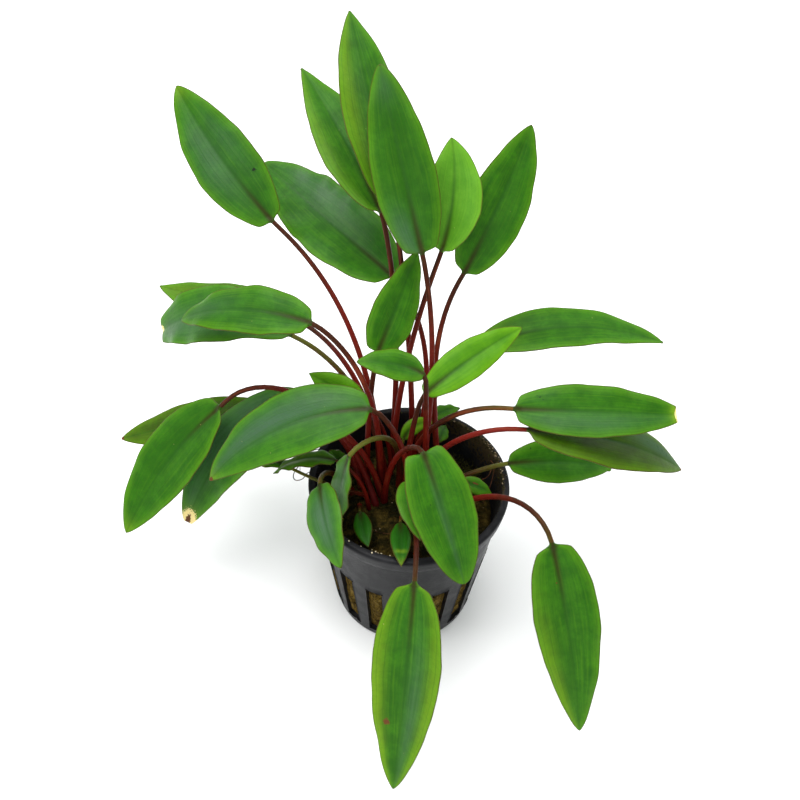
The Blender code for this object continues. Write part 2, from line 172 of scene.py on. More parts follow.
LEAVES = (
    Leaf("leaf_back_tall", root=(1, 11.5),
         stalk=Stalk(heading=-16, turn=-8, length=72, rise=80, neck=63),
         blade=Blade(length=52, width=17.5, start=53, tip=29, sweep=8, roll=-15, twist=2,
                     belly=0.44, fullness=0.8)),
    Leaf("leaf_back_left", root=(-5, 12.5),
         stalk=Stalk(heading=13, turn=-41, length=71.5, rise=82, neck=57),
         blade=Blade(length=48, width=16, start=24, tip=20, sweep=-6, roll=8, twist=-3,
                     belly=0.4, fullness=0.85)),
    Leaf("leaf_back_centre", root=(3.5, 5),
         stalk=Stalk(heading=26, turn=-58, length=66.5, rise=83, neck=63, bend=1.2),
         blade=Blade(length=44.5, width=15.5, start=59, tip=49, sweep=10, roll=20, twist=7,
                     belly=0.4, fullness=0.6)),
    Leaf("leaf_back_pale", root=(-5, 10), tone=Tone.PALE,
         stalk=Stalk(heading=30, turn=-2, length=65, rise=87, neck=46, bend=1.4),
         blade=Blade(length=28, width=15, start=57, tip=47, sweep=-46, roll=0, twist=1, belly=0.44)),
    Leaf("leaf_back_right", root=(8, 7),
         stalk=Stalk(heading=-50, turn=90, length=60, rise=84, neck=37, bend=1.4),
         blade=Blade(length=40, width=16, start=47, tip=54, sweep=-9, roll=-36, twist=-1, fullness=0.7)),
    Leaf("leaf_top_left", root=(-8, 6.5),
         stalk=Stalk(heading=-8, turn=-53, length=77, rise=69, neck=27, bend=0.9),
         blade=Blade(length=44.5, width=18, start=39, tip=29, sweep=26, roll=43, twist=2, fullness=0.7)),
    Leaf("leaf_centre_left", root=(0, 8),
         stalk=Stalk(heading=41, turn=-90, length=57, rise=69, neck=29, bend=1.4),
         blade=Blade(length=58, width=22, start=13, tip=4, sweep=10, roll=14, twist=13,
                     belly=0.4, fullness=0.65)),
    Leaf("leaf_mid_left_back", root=(-7, 9),
         stalk=Stalk(heading=-23, turn=-37, length=50, rise=62, neck=4, bend=1.6),
         blade=Blade(length=54.5, width=18, start=-14, tip=-10, sweep=1, roll=1, twist=3, fullness=0.8)),
    Leaf("leaf_mid_left_under", root=(-6.5, 4.5), tone=Tone.BLUISH,
         stalk=Stalk(heading=-31, turn=-40, length=51, rise=78, neck=12, bend=1.3),
         blade=Blade(length=47, width=18, start=15, tip=-51, sweep=5, roll=7, twist=38, belly=0.48)),
    Leaf("leaf_mid_left_front", root=(-7.5, 2.5),
         stalk=Stalk(heading=-41, turn=-32, length=57, rise=88, neck=26, bend=2.2),
         blade=Blade(length=41.5, width=13.5, start=6, tip=-41, sweep=7, roll=25, twist=1,
                     belly=0.4, fullness=0.65)),
    Leaf("leaf_left_rear", root=(-13, 2.5), tone=Tone.BRONZE,
         stalk=Stalk(heading=-23, turn=-65, length=40, rise=58, neck=-22, bend=1),
         blade=Blade(length=45.5, width=13.5, start=-21, tip=-20, sweep=-4, roll=12, twist=9,
                     belly=0.44, fullness=0.7)),
    Leaf("leaf_left_drooping", root=(-9, -3),
         stalk=Stalk(heading=-32, turn=-73, length=60, rise=56, neck=-57, bend=2.4),
         blade=Blade(length=47.5, width=19, start=-41, tip=-51, sweep=-36, roll=15, twist=3,
                     belly=0.4, fullness=0.7)),
    Leaf("leaf_left_burnt_tip", root=(-7.5, 0), tone=Tone.BLUISH,
         stalk=Stalk(heading=-63, turn=-12, length=35, rise=78, neck=8, bend=1.3),
         blade=Blade(length=53.5, width=20.5, start=-31, tip=-62, sweep=-67, roll=13, twist=6,
                     belly=0.32, fullness=0.65)),
    Leaf("leaf_left_broad", root=(0, -1), tone=Tone.BLUISH,
         stalk=Stalk(heading=-85, turn=-6, length=36, rise=88, neck=48, bend=1.9),
         blade=Blade(length=48.5, width=17.5, start=-3, tip=-51, sweep=-19, roll=24, twist=5, belly=0.38)),
    Leaf("leaf_left_bright", root=(-5, 7.5), tone=Tone.BRIGHT,
         stalk=Stalk(heading=-73, turn=-2, length=27, rise=88, neck=49, bend=1.7, thickness=1.1),
         blade=Blade(length=16.5, width=8, start=20, tip=10, sweep=11, roll=48, twist=7, fullness=0.8)),
    Leaf("leaf_left_under", root=(-10.5, -5),
         stalk=Stalk(heading=-68, turn=-13, length=19.5, rise=84, neck=30, thickness=1.1),
         blade=Blade(length=18.5, width=7.5, start=8, tip=-49, sweep=-20, roll=-11, twist=-11,
                     belly=0.4, fullness=0.8)),
    Leaf("leaf_left_hidden", root=(-11, -1),
         stalk=Stalk(heading=-117, turn=60, length=25.5, rise=39, neck=-2, bend=1.4, thickness=1.1),
         blade=Blade(length=18, width=6.5, start=-9, tip=-24, sweep=4, roll=2, twist=0, fullness=0.8)),
    Leaf("leaf_left_tiny", root=(-15, 9),
         stalk=Stalk(heading=-125, turn=-12, length=8.5, rise=59, neck=43, bend=1.3, thickness=1.1),
         blade=Blade(length=8, width=5, start=68, tip=58, sweep=-6, roll=-50, twist=-8, fullness=0.8)),
    Leaf("leaf_centre_upright", root=(-11.5, 4.5),
         stalk=Stalk(heading=2, turn=29, length=43, rise=88, neck=73, bend=1.6),
         blade=Blade(length=27, width=12, start=47, tip=38, sweep=-9, roll=-35, twist=-14,
                     belly=0.36, fullness=0.7)),
    Leaf("leaf_centre_small", root=(4.5, 2),
         stalk=Stalk(heading=-103, turn=6, length=44, rise=88, neck=87, bend=1.4),
         blade=Blade(length=17, width=8.5, start=34, tip=-6, sweep=5, roll=19, twist=2,
                     belly=0.4, fullness=0.7)),
    Leaf("leaf_right_light", root=(-1, 1), tone=Tone.BRIGHT,
         stalk=Stalk(heading=10, turn=49, length=34, rise=86, neck=73, bend=1.7),
         blade=Blade(length=30.5, width=10, start=31, tip=10, sweep=-1, roll=-25, twist=-10,
                     fullness=0.7)),
    Leaf("leaf_young_curled", root=(-2.5, 5.5), tone=Tone.BRIGHT,
         stalk=Stalk(heading=-15, turn=53, length=13.5, rise=76, neck=85, thickness=1.1),
         blade=Blade(length=10.5, width=4.5, start=57, tip=-26, sweep=47, roll=-39, twist=-12,
                     belly=0.4, fullness=0.8)),
    Leaf("leaf_behind_small", root=(4.5, 11.5),
         stalk=Stalk(heading=-45, turn=90, length=14, rise=76, neck=33, bend=1.7, thickness=1.1),
         blade=Blade(length=9.5, width=5.5, start=11, tip=-17, sweep=26, roll=-1, twist=0, fullness=0.8)),
    Leaf("leaf_behind_tiny", root=(6.5, 10),
         stalk=Stalk(heading=15, turn=7, length=8.5, rise=84, neck=51, thickness=1.1),
         blade=Blade(length=8, width=4.5, start=1, tip=-26, sweep=-8, roll=-23, twist=-2,
                     belly=0.44, fullness=0.8)),
    Leaf("leaf_right_long", root=(5.5, 7),
         stalk=Stalk(heading=-24, turn=90, length=41, rise=62, neck=15),
         blade=Blade(length=53, width=15, start=13, tip=-11, sweep=38, roll=-8, twist=0, belly=0.4)),
    Leaf("leaf_right_level", root=(-0.5, 5),
         stalk=Stalk(heading=102, turn=-6, length=47, rise=87, neck=-3, bend=1.6),
         blade=Blade(length=41.5, width=14, start=7, tip=-11, sweep=-17, roll=-26, twist=-4,
                     belly=0.4, fullness=0.6)),
    Leaf("leaf_right_glossy", root=(2.5, -0.5), tone=Tone.BRONZE,
         stalk=Stalk(heading=106, turn=-19, length=45, rise=88, neck=-10),
         blade=Blade(length=48.5, width=16.5, start=-2, tip=-42, sweep=-6, roll=-11, twist=-4)),
    Leaf("leaf_right_low", root=(5, -0.5),
         stalk=Stalk(heading=84, turn=-10, length=24.5, rise=49, neck=0, bend=1.1),
         blade=Blade(length=35, width=12.5, start=-6, tip=-31, sweep=-2, roll=-33, twist=-2)),
    Leaf("leaf_rim_right", root=(2, -2.5),
         stalk=Stalk(heading=116, turn=-37, length=16.5, rise=67, neck=8, bend=1.4, thickness=1.1),
         blade=Blade(length=10.5, width=5, start=-24, tip=-44, sweep=11, roll=-26, twist=-6,
                     fullness=0.8)),
    Leaf("leaf_right_hanging", root=(6.5, -7.5),
         stalk=Stalk(heading=81, turn=74, length=41.5, rise=44, neck=-40, bend=2.7),
         blade=Blade(length=51.5, width=17, start=-50, tip=-60, sweep=7, roll=-12, twist=6,
                     belly=0.36, fullness=0.7)),
    Leaf("leaf_rim_left_back", root=(-2.5, 3.5),
         stalk=Stalk(heading=-148, turn=17, length=38.5, rise=88, neck=-28, bend=2.4),
         blade=Blade(length=25.5, width=9, start=-73, tip=-89, sweep=-7, roll=-13, twist=-2,
                     fullness=0.85)),
    Leaf("leaf_rim_left", root=(-16, 1), tone=Tone.BLUISH,
         stalk=Stalk(heading=-97, turn=-90, length=22.5, rise=68, neck=12, bend=1.7),
         blade=Blade(length=23.5, width=10.5, start=2, tip=-23, sweep=-21, roll=-32, twist=-15,
                     belly=0.4, fullness=0.65)),
    Leaf("leaf_front_hanging", root=(0.5, -6),
         stalk=Stalk(heading=170, turn=13, length=34, rise=57, neck=-31, bend=1.4),
         blade=Blade(length=53.5, width=18, start=-48, tip=-58, sweep=5, roll=-21, twist=9,
                     belly=0.38, fullness=0.7)),
    Leaf("leaf_front_broad", root=(-6.5, -2),
         stalk=Stalk(heading=101, turn=52, length=36, rise=87, neck=31, bend=1.8),
         blade=Blade(length=34, width=16, start=-35, tip=-58, sweep=-5, roll=-9, twist=-5,
                     belly=0.38, fullness=0.55)),
    Leaf("leaf_front_tucked", root=(-0.5, -3.5),
         stalk=Stalk(heading=-174, turn=-11, length=19, rise=88, neck=48, thickness=1.1),
         blade=Blade(length=17.5, width=8, start=6, tip=-18, sweep=-12, roll=6, twist=5,
                     belly=0.4, fullness=0.8)),
    Leaf("leaf_wool_left", root=(-13, -4.5), tone=Tone.DARK,
         stalk=Stalk(heading=178, turn=-6, length=5.5, rise=50, neck=18, bend=1.4, thickness=1.1),
         blade=Blade(length=11.5, width=5, start=7, tip=-9, sweep=-12, roll=-8, twist=-3, fullness=0.8)),
    Leaf("leaf_wool_front", root=(-1.5, -8), tone=Tone.DARK,
         stalk=Stalk(heading=-171, turn=-10, length=9, rise=57, neck=30, bend=1.4, thickness=1.1),
         blade=Blade(length=15, width=5.5, start=20, tip=-4, sweep=-2, roll=1, twist=1, fullness=0.8)),
)


LOOKS = {
    "leaf_back_tall": Look(wave=0.3, patches=(
        Patch(Tint.YELLOW, 0.6, -0.75, 0.5, 0.3, 0.5),
        Patch(Tint.DARK, 0.3, 0.1, 0.3, 0.4, 0.3),
    )),
    "leaf_back_left": Look(wave=0.3, patches=(Patch(Tint.YELLOW, 0.5, -0.8, 0.5, 0.3, 0.3),)),
    "leaf_back_centre": Look(wave=0.25, curl=1.2, lobes=1.2, patches=(
        Patch(Tint.DARK, 0.5, 0.1, 0.4, 0.6, 0.8),
        Patch(Tint.SHEEN, 0.12, -0.5, 0.14, 0.4, 0.7),
        Patch(Tint.SHEEN, 0.9, 0.0, 0.1, 0.5, 0.4),
    )),
    "leaf_back_pale": Look(wave=0.2),
    "leaf_back_right": Look(wave=0.35, patches=(Patch(Tint.DARK, 0.5, 0.3, 0.4, 0.5, 0.4),)),
    "leaf_top_left": Look(wave=0.3, lobes=1.0, patches=(
        Patch(Tint.SHEEN, 0.5, -0.3, 0.28, 0.5, 0.55),
        Patch(Tint.SHEEN, 0.55, 0.45, 0.25, 0.35, 0.45),
        Patch(Tint.DARK, 0.12, 0.05, 0.2, 0.2, 0.8),
        Patch(Tint.YELLOW, 1.0, 0.0, 0.08, 1.0, 0.6),
    ), marks=(Mark(Scar.BLACK, 0.3, 0.6, 0.8, 0.7),)),
    "leaf_centre_left": Look(wave=0.65, waves=5.0, curl=1.0, lobes=1.0, patches=(
        Patch(Tint.SHEEN, 0.62, 0.5, 0.32, 0.5, 0.55),
        Patch(Tint.DARK, 0.22, 0.45, 0.2, 0.4, 0.6),
        Patch(Tint.DARK, 0.4, 0.0, 0.5, 0.14, 0.6),
    )),
    "leaf_mid_left_back": Look(wave=0.25, patches=(Patch(Tint.YELLOW, 0.8, 0.0, 0.5, 1.0, 0.5),)),
    "leaf_mid_left_under": Look(wave=0.6, cut=0.1, olive=0.55, patches=(
        Patch(Tint.SHEEN, 0.7, -0.2, 0.5, 0.6, 0.5),
    ), marks=(Mark(Scar.STRAW, 1.0, 0.1, 1.2, 1.2),)),
    "leaf_mid_left_front": Look(wave=0.5, patches=(
        Patch(Tint.SHEEN, 0.75, 0.2, 0.25, 0.5, 0.4),
        Patch(Tint.DARK, 0.1, 0.0, 0.2, 0.14, 0.6),
    )),
    "leaf_left_rear": Look(wave=0.2, marks=(Mark(Scar.BROWN, 1.0, 0.0, 1.0, 1.2),)),
    "leaf_left_drooping": Look(wave=0.25, curl=1.4, patches=(
        Patch(Tint.DARK, 0.35, 0.2, 0.4, 0.5, 0.8),
        Patch(Tint.YELLOW, 1.0, 0.0, 0.08, 1.0, 0.5),
    )),
    "leaf_left_burnt_tip": Look(wave=0.35, cut=0.02, patches=(
        Patch(Tint.SHEEN, 0.5, 0.45, 0.5, 0.55, 0.8),
        Patch(Tint.YELLOW, 0.97, 0.0, 0.06, 1.0, 0.8),
    ), marks=(Mark(Scar.STRAW, 0.98, 0.0, 3.6, 2.6), Mark(Scar.BROWN, 0.99, 0.1, 2.2, 0.8))),
    "leaf_left_broad": Look(wave=0.35, curl=1.2, lobes=1.0, patches=(
        Patch(Tint.SHEEN, 0.55, 0.3, 0.42, 0.35, 1.0),
        Patch(Tint.YELLOW, 1.0, 0.0, 0.06, 1.0, 0.6),
    ), marks=(Mark(Scar.BROWN, 0.99, -0.2, 0.9, 0.6),)),
    "leaf_left_bright": Look(wave=0.3),
    "leaf_left_under": Look(wave=0.5, patches=(Patch(Tint.YELLOW, 0.7, 0.0, 0.5, 0.7, 0.6),)),
    "leaf_left_hidden": Look(olive=0.7, wave=0.3, marks=(Mark(Scar.BLACK, 1.0, 0.0, 0.6, 0.6),)),
    "leaf_left_tiny": Look(wave=0.2),
    "leaf_centre_upright": Look(wave=0.3, lobes=0.8),
    "leaf_centre_small": Look(wave=0.3, lobes=0.8),
    "leaf_right_light": Look(wave=0.3),
    "leaf_young_curled": Look(wave=0.1, curl=0.6, olive=0.5, patches=(
        Patch(Tint.YELLOW, 0.8, 0.0, 0.5, 1.0, 0.7),
    )),
    "leaf_behind_small": Look(wave=0.3, marks=(Mark(Scar.BLACK, 1.0, 0.0, 0.7, 0.7),)),
    "leaf_behind_tiny": Look(wave=0.2),
    "leaf_right_long": Look(wave=0.25, patches=(Patch(Tint.YELLOW, 0.05, 0.0, 0.15, 1.0, 0.5),)),
    "leaf_right_level": Look(wave=0.35, cut=0.06, olive=0.3, patches=(
        Patch(Tint.SHEEN, 0.5, 0.45, 0.35, 0.4, 0.45),
        Patch(Tint.YELLOW, 0.99, 0.0, 0.03, 1.0, 1.0),
    ), marks=(Mark(Scar.BLACK, 0.17, -0.5, 1.9, 0.25, 35.0), Mark(Scar.STRAW, 1.0, 0.1, 0.6, 2.0))),
    "leaf_right_glossy": Look(wave=0.5, waves=2.5, curl=1.4, olive=-0.4, patches=(
        Patch(Tint.SHEEN, 0.8, -0.45, 0.2, 0.35, 0.9),
    ), marks=(Mark(Scar.BROWN, 1.0, 0.0, 0.8, 0.8),)),
    "leaf_right_low": Look(wave=0.3, round=1.4, waves=3.0, olive=0.6, marks=(
        Mark(Scar.BLACK, 0.2, -0.7, 0.4, 0.4),
    )),
    "leaf_rim_right": Look(wave=0.2, marks=(Mark(Scar.BROWN, 0.4, -0.2, 1.2, 0.25),)),
    "leaf_right_hanging": Look(wave=0.3, olive=0.2, lobes=0.8, patches=(
        Patch(Tint.YELLOW, 0.7, 0.8, 0.4, 0.3, 0.5),
    ), marks=(Mark(Scar.BROWN, 0.2, 0.15, 0.7, 0.25, 60.0),)),
    "leaf_rim_left_back": Look(wave=0.5, olive=0.7, patches=(
        Patch(Tint.SHEEN, 0.3, 0.0, 0.3, 0.7, 0.4),
    )),
    "leaf_rim_left": Look(wave=0.3, olive=0.6, patches=(Patch(Tint.SHEEN, 0.45, 0.1, 0.36, 0.6, 1.0),)),
    "leaf_front_hanging": Look(wave=0.3, olive=0.1, patches=(
        Patch(Tint.YELLOW, 0.6, 0.85, 0.6, 0.25, 0.7),
        Patch(Tint.YELLOW, 0.6, -0.85, 0.6, 0.25, 0.6),
        Patch(Tint.SHEEN, 0.6, -0.35, 0.35, 0.25, 0.5),
    ), marks=(Mark(Scar.BROWN, 0.67, 0.5, 1.0, 0.9),)),
    "leaf_front_broad": Look(wave=0.25, lobes=2.2, patches=(
        Patch(Tint.SHEEN, 0.5, 0.05, 0.5, 0.1, 0.5),
    ), marks=(Mark(Scar.BLACK, 0.36, 0.35, 0.35, 0.35),)),
    "leaf_front_tucked": Look(wave=0.2),
    "leaf_wool_left": Look(wave=0.1, olive=0.4),
    "leaf_wool_front": Look(wave=0.1, olive=0.4, patches=(
        Patch(Tint.YELLOW, 0.97, 0.0, 0.1, 1.0, 1.0),
        Patch(Tint.YELLOW, 0.72, 0.0, 0.03, 0.8, 0.9),
    )),
}


class Graph:
    """A node tree with short calls that add a node, feed its inputs and give back its output."""

    def __init__(self, tree: bpy.types.NodeTree) -> None:
        """Work on one node tree."""
        self.tree = tree

    def feed(self, socket: bpy.types.NodeSocket, value: Value) -> None:
        """Link a socket into an input, or set the input's own value.

        Args:
            socket: the input to feed.
            value: a socket, a number or a colour.
        """
        if isinstance(value, bpy.types.NodeSocket):
            self.tree.links.new(value, socket)
        elif socket.type == "RGBA":
            socket.default_value = (*value, 1.0)
        else:
            socket.default_value = value

    def add(self, kind: str, inputs: dict[str | int, Value] | None = None,
            **settings: object) -> bpy.types.Node:
        """Add a node with its settings and inputs.

        Args:
            kind: the node's type name.
            inputs: a value for each input, by name or place.
            settings: the node's own settings.

        Returns:
            The new node.
        """
        node = self.tree.nodes.new(kind)
        for name, value in settings.items():
            setattr(node, name, value)
        for key, value in (inputs or {}).items():
            self.feed(node.inputs[key], value)
        return node

    def math(self, operation: str, *values: Value) -> bpy.types.NodeSocket:
        """Combine values with one arithmetic step.

        Args:
            operation: the name of the step.
            values: what it works on, in order.

        Returns:
            The result's socket.
        """
        return self.add("ShaderNodeMath", dict(enumerate(values)), operation=operation).outputs[0]

    def ramp(self, value: Value, low: Value, high: Value, start: float = 0.0,
             end: float = 1.0) -> bpy.types.NodeSocket:
        """Turn a range of values smoothly into another.

        Args:
            value: the value that runs from low to high.
            low: where the ramp starts.
            high: where it ends.
            start: what it gives at low.
            end: what it gives at high.

        Returns:
            The ramp's socket.
        """
        inputs = {"Value": value, "From Min": low, "From Max": high, "To Min": start, "To Max": end}
        return self.add("ShaderNodeMapRange", inputs, interpolation_type="SMOOTHSTEP").outputs[0]

    def blend(self, share: Value, first: Value, second: Value, kind: str = "MIX") -> bpy.types.NodeSocket:
        """Mix two colours by a share of the second, or with another kind of mix."""
        node = self.add("ShaderNodeMix", {0: share, 6: first, 7: second}, data_type="RGBA", blend_type=kind)
        return node.outputs[2]

    def noise(self, place: Value, scale: Value, detail: float = 3.0, roughness: float = 0.55,
              distortion: float = 0.0) -> bpy.types.NodeSocket:
        """Cloudy noise between 0 and 1 at a place."""
        inputs = {"Vector": place, "Scale": scale, "Detail": detail, "Roughness": roughness,
                  "Distortion": distortion}
        return self.add("ShaderNodeTexNoise", inputs).outputs[0]

    def stretch(self, place: Value, factors: Colour) -> bpy.types.NodeSocket:
        """Scale a place by a factor along each axis."""
        return self.add("ShaderNodeVectorMath", {0: place, 1: factors}, operation="MULTIPLY").outputs[0]

    def split(self, place: Value) -> list[bpy.types.NodeSocket]:
        """The three parts of a vector."""
        return list(self.add("ShaderNodeSeparateXYZ", {0: place}).outputs)

    def join(self, x: Value, y: Value, z: Value) -> bpy.types.NodeSocket:
        """A vector from three parts."""
        return self.add("ShaderNodeCombineXYZ", {0: x, 1: y, 2: z}).outputs[0]

    def field(self, name: str) -> bpy.types.Node:
        """The node that reads a value kept on the mesh under a name."""
        return self.add("ShaderNodeAttribute", attribute_name=name)

    def effect(self, tree: bpy.types.NodeTree, inputs: dict[str, Value]) -> bpy.types.Node:
        """Place one of the shared effects with its own values.

        Args:
            tree: the effect's node group.
            inputs: a value for each of its named inputs.

        Returns:
            The node, with the effect's named outputs.
        """
        node = self.tree.nodes.new("ShaderNodeGroup")
        node.node_tree = tree
        for name, value in inputs.items():
            self.feed(node.inputs[name], value)
        return node

    def bump(self, height: Value, depth: float, strength: float = 1.0) -> bpy.types.NodeSocket:
        """Surface normals for a height, whose full range is a depth in metres."""
        return self.add("ShaderNodeBump", {"Strength": strength, "Distance": depth,
                                           "Height": height}).outputs[0]


class Effect:
    """A shading effect in the making: a node group with named inputs and outputs."""

    KINDS = {"value": "NodeSocketFloat", "place": "NodeSocketVector"}

    def __init__(self, name: str, inputs: dict[str, str], outputs: Iterable[str]) -> None:
        """Make the group's sockets and its first and last node.

        Args:
            name: the group's name.
            inputs: the kind of each named input, value or place.
            outputs: the name of each output, all of them values.
        """
        self.tree = bpy.data.node_groups.new(name, "ShaderNodeTree")
        for title, kind in inputs.items():
            self.tree.interface.new_socket(title, in_out="INPUT", socket_type=self.KINDS[kind])
        for title in outputs:
            self.tree.interface.new_socket(title, in_out="OUTPUT", socket_type=self.KINDS["value"])
        self.graph = Graph(self.tree)
        self.given = self.tree.nodes.new("NodeGroupInput").outputs
        self.result = self.tree.nodes.new("NodeGroupOutput").inputs

    def close(self, **results: Value) -> bpy.types.NodeTree:
        """Feed the outputs and give back the finished group.

        Args:
            results: a socket for each output, with spaces in its name written as underscores.

        Returns:
            The node group.
        """
        for title, value in results.items():
            self.graph.feed(self.result[title.replace("_", " ")], value)
        return self.tree


class Effects:
    """The shading effects that several finishes share, each built once."""

    def __init__(self) -> None:
        """Build every group."""
        self.mottle = self.build_mottle()
        self.specks = self.build_specks()
        self.veins = self.build_veins()
        self.band = self.build_band()
        self.scar = self.build_scar()
        self.streaks = self.build_streaks()

    @staticmethod
    def build_mottle() -> bpy.types.NodeTree:
        """Soft cloudy blotches with finer ones inside them."""
        effect = Effect("mottle", {"Place": "place", "Scale": "value", "Spread": "value"}, ["Mottle"])
        graph, given = effect.graph, effect.given
        cloud = graph.noise(given["Place"], given["Scale"], detail=4.0)
        low = graph.math("SUBTRACT", 0.5, given["Spread"])
        high = graph.math("ADD", 0.5, given["Spread"])
        return effect.close(Mottle=graph.ramp(cloud, low, high))

    @staticmethod
    def build_specks() -> bpy.types.NodeTree:
        """Small scattered dots of uneven size; Share is how many of the cells hold one."""
        effect = Effect("specks", {"Place": "place", "Scale": "value", "Share": "value", "Size": "value"},
                        ["Specks"])
        graph, given = effect.graph, effect.given
        cells = graph.add("ShaderNodeTexVoronoi", {"Vector": given["Place"], "Scale": given["Scale"]})
        chance, girth, _ = graph.split(cells.outputs["Color"])
        size = graph.math("MULTIPLY", given["Size"], graph.math("ADD", girth, 0.3))
        dot = graph.ramp(cells.outputs["Distance"], 0.0, size, 1.0, 0.0)
        chosen = graph.math("LESS_THAN", chance, given["Share"])
        return effect.close(Specks=graph.math("MULTIPLY", dot, chosen))

    @staticmethod
    def build_veins() -> bpy.types.NodeTree:
        """A blade's midrib, arching side veins and the net of fine cross veins.

        Blade holds the share across, the share along and the side; Grain is the place in millimetres.
        """
        effect = Effect("leaf_veins", {"Blade": "place", "Grain": "place", "Count": "value"},
                        ["Midrib", "Veins", "Net", "Strands"])
        graph, given = effect.graph, effect.given
        across, along, _ = graph.split(given["Blade"])
        side, length, seed = graph.split(given["Grain"])
        away = graph.math("ABSOLUTE", side)
        width = graph.ramp(along, 0.0, 1.0, 1.25, 0.5)
        midrib = graph.ramp(away, 0.0, width, 1.0, 0.0)
        wander = graph.noise(given["Grain"], 0.12, detail=2.0)
        lanes = graph.math("MULTIPLY", graph.math("ABSOLUTE", across), given["Count"])
        lanes = graph.math("ADD", lanes, graph.math("MULTIPLY", wander, 0.5))
        near = graph.math("PINGPONG", lanes, 0.5)
        veins = graph.ramp(near, 0.0, 0.11, 1.0, 0.0)
        swept = graph.math("SUBTRACT", length, graph.math("MULTIPLY", away, 0.7))
        bent = graph.join(graph.math("MULTIPLY", side, 0.42), swept, seed)
        waved = graph.noise(given["Grain"], 0.3, detail=2.0)
        bent = graph.add("ShaderNodeVectorMath", {0: bent, 1: graph.join(waved, waved, 0.0)}, operation="ADD")
        cells = graph.add("ShaderNodeTexVoronoi", {"Vector": bent.outputs[0], "Scale": 0.62},
                          feature="DISTANCE_TO_EDGE")
        net = graph.ramp(cells.outputs["Distance"], 0.0, 0.13, 1.0, 0.0)
        strands = graph.noise(graph.join(graph.math("MULTIPLY", across, 14.0),
                                         graph.math("MULTIPLY", length, 0.07),
                                         seed), 1.0, detail=3.0)
        return effect.close(Midrib=midrib, Veins=veins, Net=net, Strands=strands)

    @staticmethod
    def build_band() -> bpy.types.NodeTree:
        """A band along an edge, fading over a width with a wandering inner side."""
        effect = Effect("edge_band", {"Distance": "value", "Width": "value", "Place": "place"}, ["Band"])
        graph, given = effect.graph, effect.given
        wander = graph.noise(given["Place"], 0.35, detail=3.0)
        width = graph.math("MULTIPLY", given["Width"], graph.math("ADD", wander, 0.5))
        return effect.close(Band=graph.ramp(given["Distance"], 0.0, width, 1.0, 0.0))

    @staticmethod
    def build_scar() -> bpy.types.NodeTree:
        """A hard-edged mark: Closeness is 1 at its middle and 0 on its outline."""
        effect = Effect("scar", {"Closeness": "value", "Place": "place"}, ["Mask"])
        graph, given = effect.graph, effect.given
        rough = graph.math("SUBTRACT", graph.noise(given["Place"], 2.2, detail=4.0), 0.5)
        level = graph.math("ADD", given["Closeness"], graph.math("MULTIPLY", rough, 1.3))
        return effect.close(Mask=graph.ramp(level, -0.05, 0.2))

    @staticmethod
    def build_streaks() -> bpy.types.NodeTree:
        """Fine fibrous streaks along the third axis of a place, and pale or dark ones among them."""
        effect = Effect("streaks", {"Place": "place", "Scale": "value"}, ["Streaks", "Rare"])
        graph, given = effect.graph, effect.given
        drawn = graph.stretch(given["Place"], (1.0, 1.0, 0.12))
        streaks = graph.noise(drawn, given["Scale"], detail=4.0, roughness=0.65, distortion=0.6)
        broad = graph.noise(drawn, graph.math("MULTIPLY", given["Scale"], 0.35), detail=2.0)
        return effect.close(Streaks=graph.ramp(streaks, 0.3, 0.7), Rare=graph.ramp(broad, 0.55, 0.72))


def new_material(name: str) -> tuple[bpy.types.Material, Graph, bpy.types.Node]:
    """A new material with its Principled shader.

    Args:
        name: the material's name.

    Returns:
        The material, its node graph and its shader.
    """
    finish = bpy.data.materials.new(name)
    finish.use_nodes = True
    return finish, Graph(finish.node_tree), finish.node_tree.nodes["Principled BSDF"]


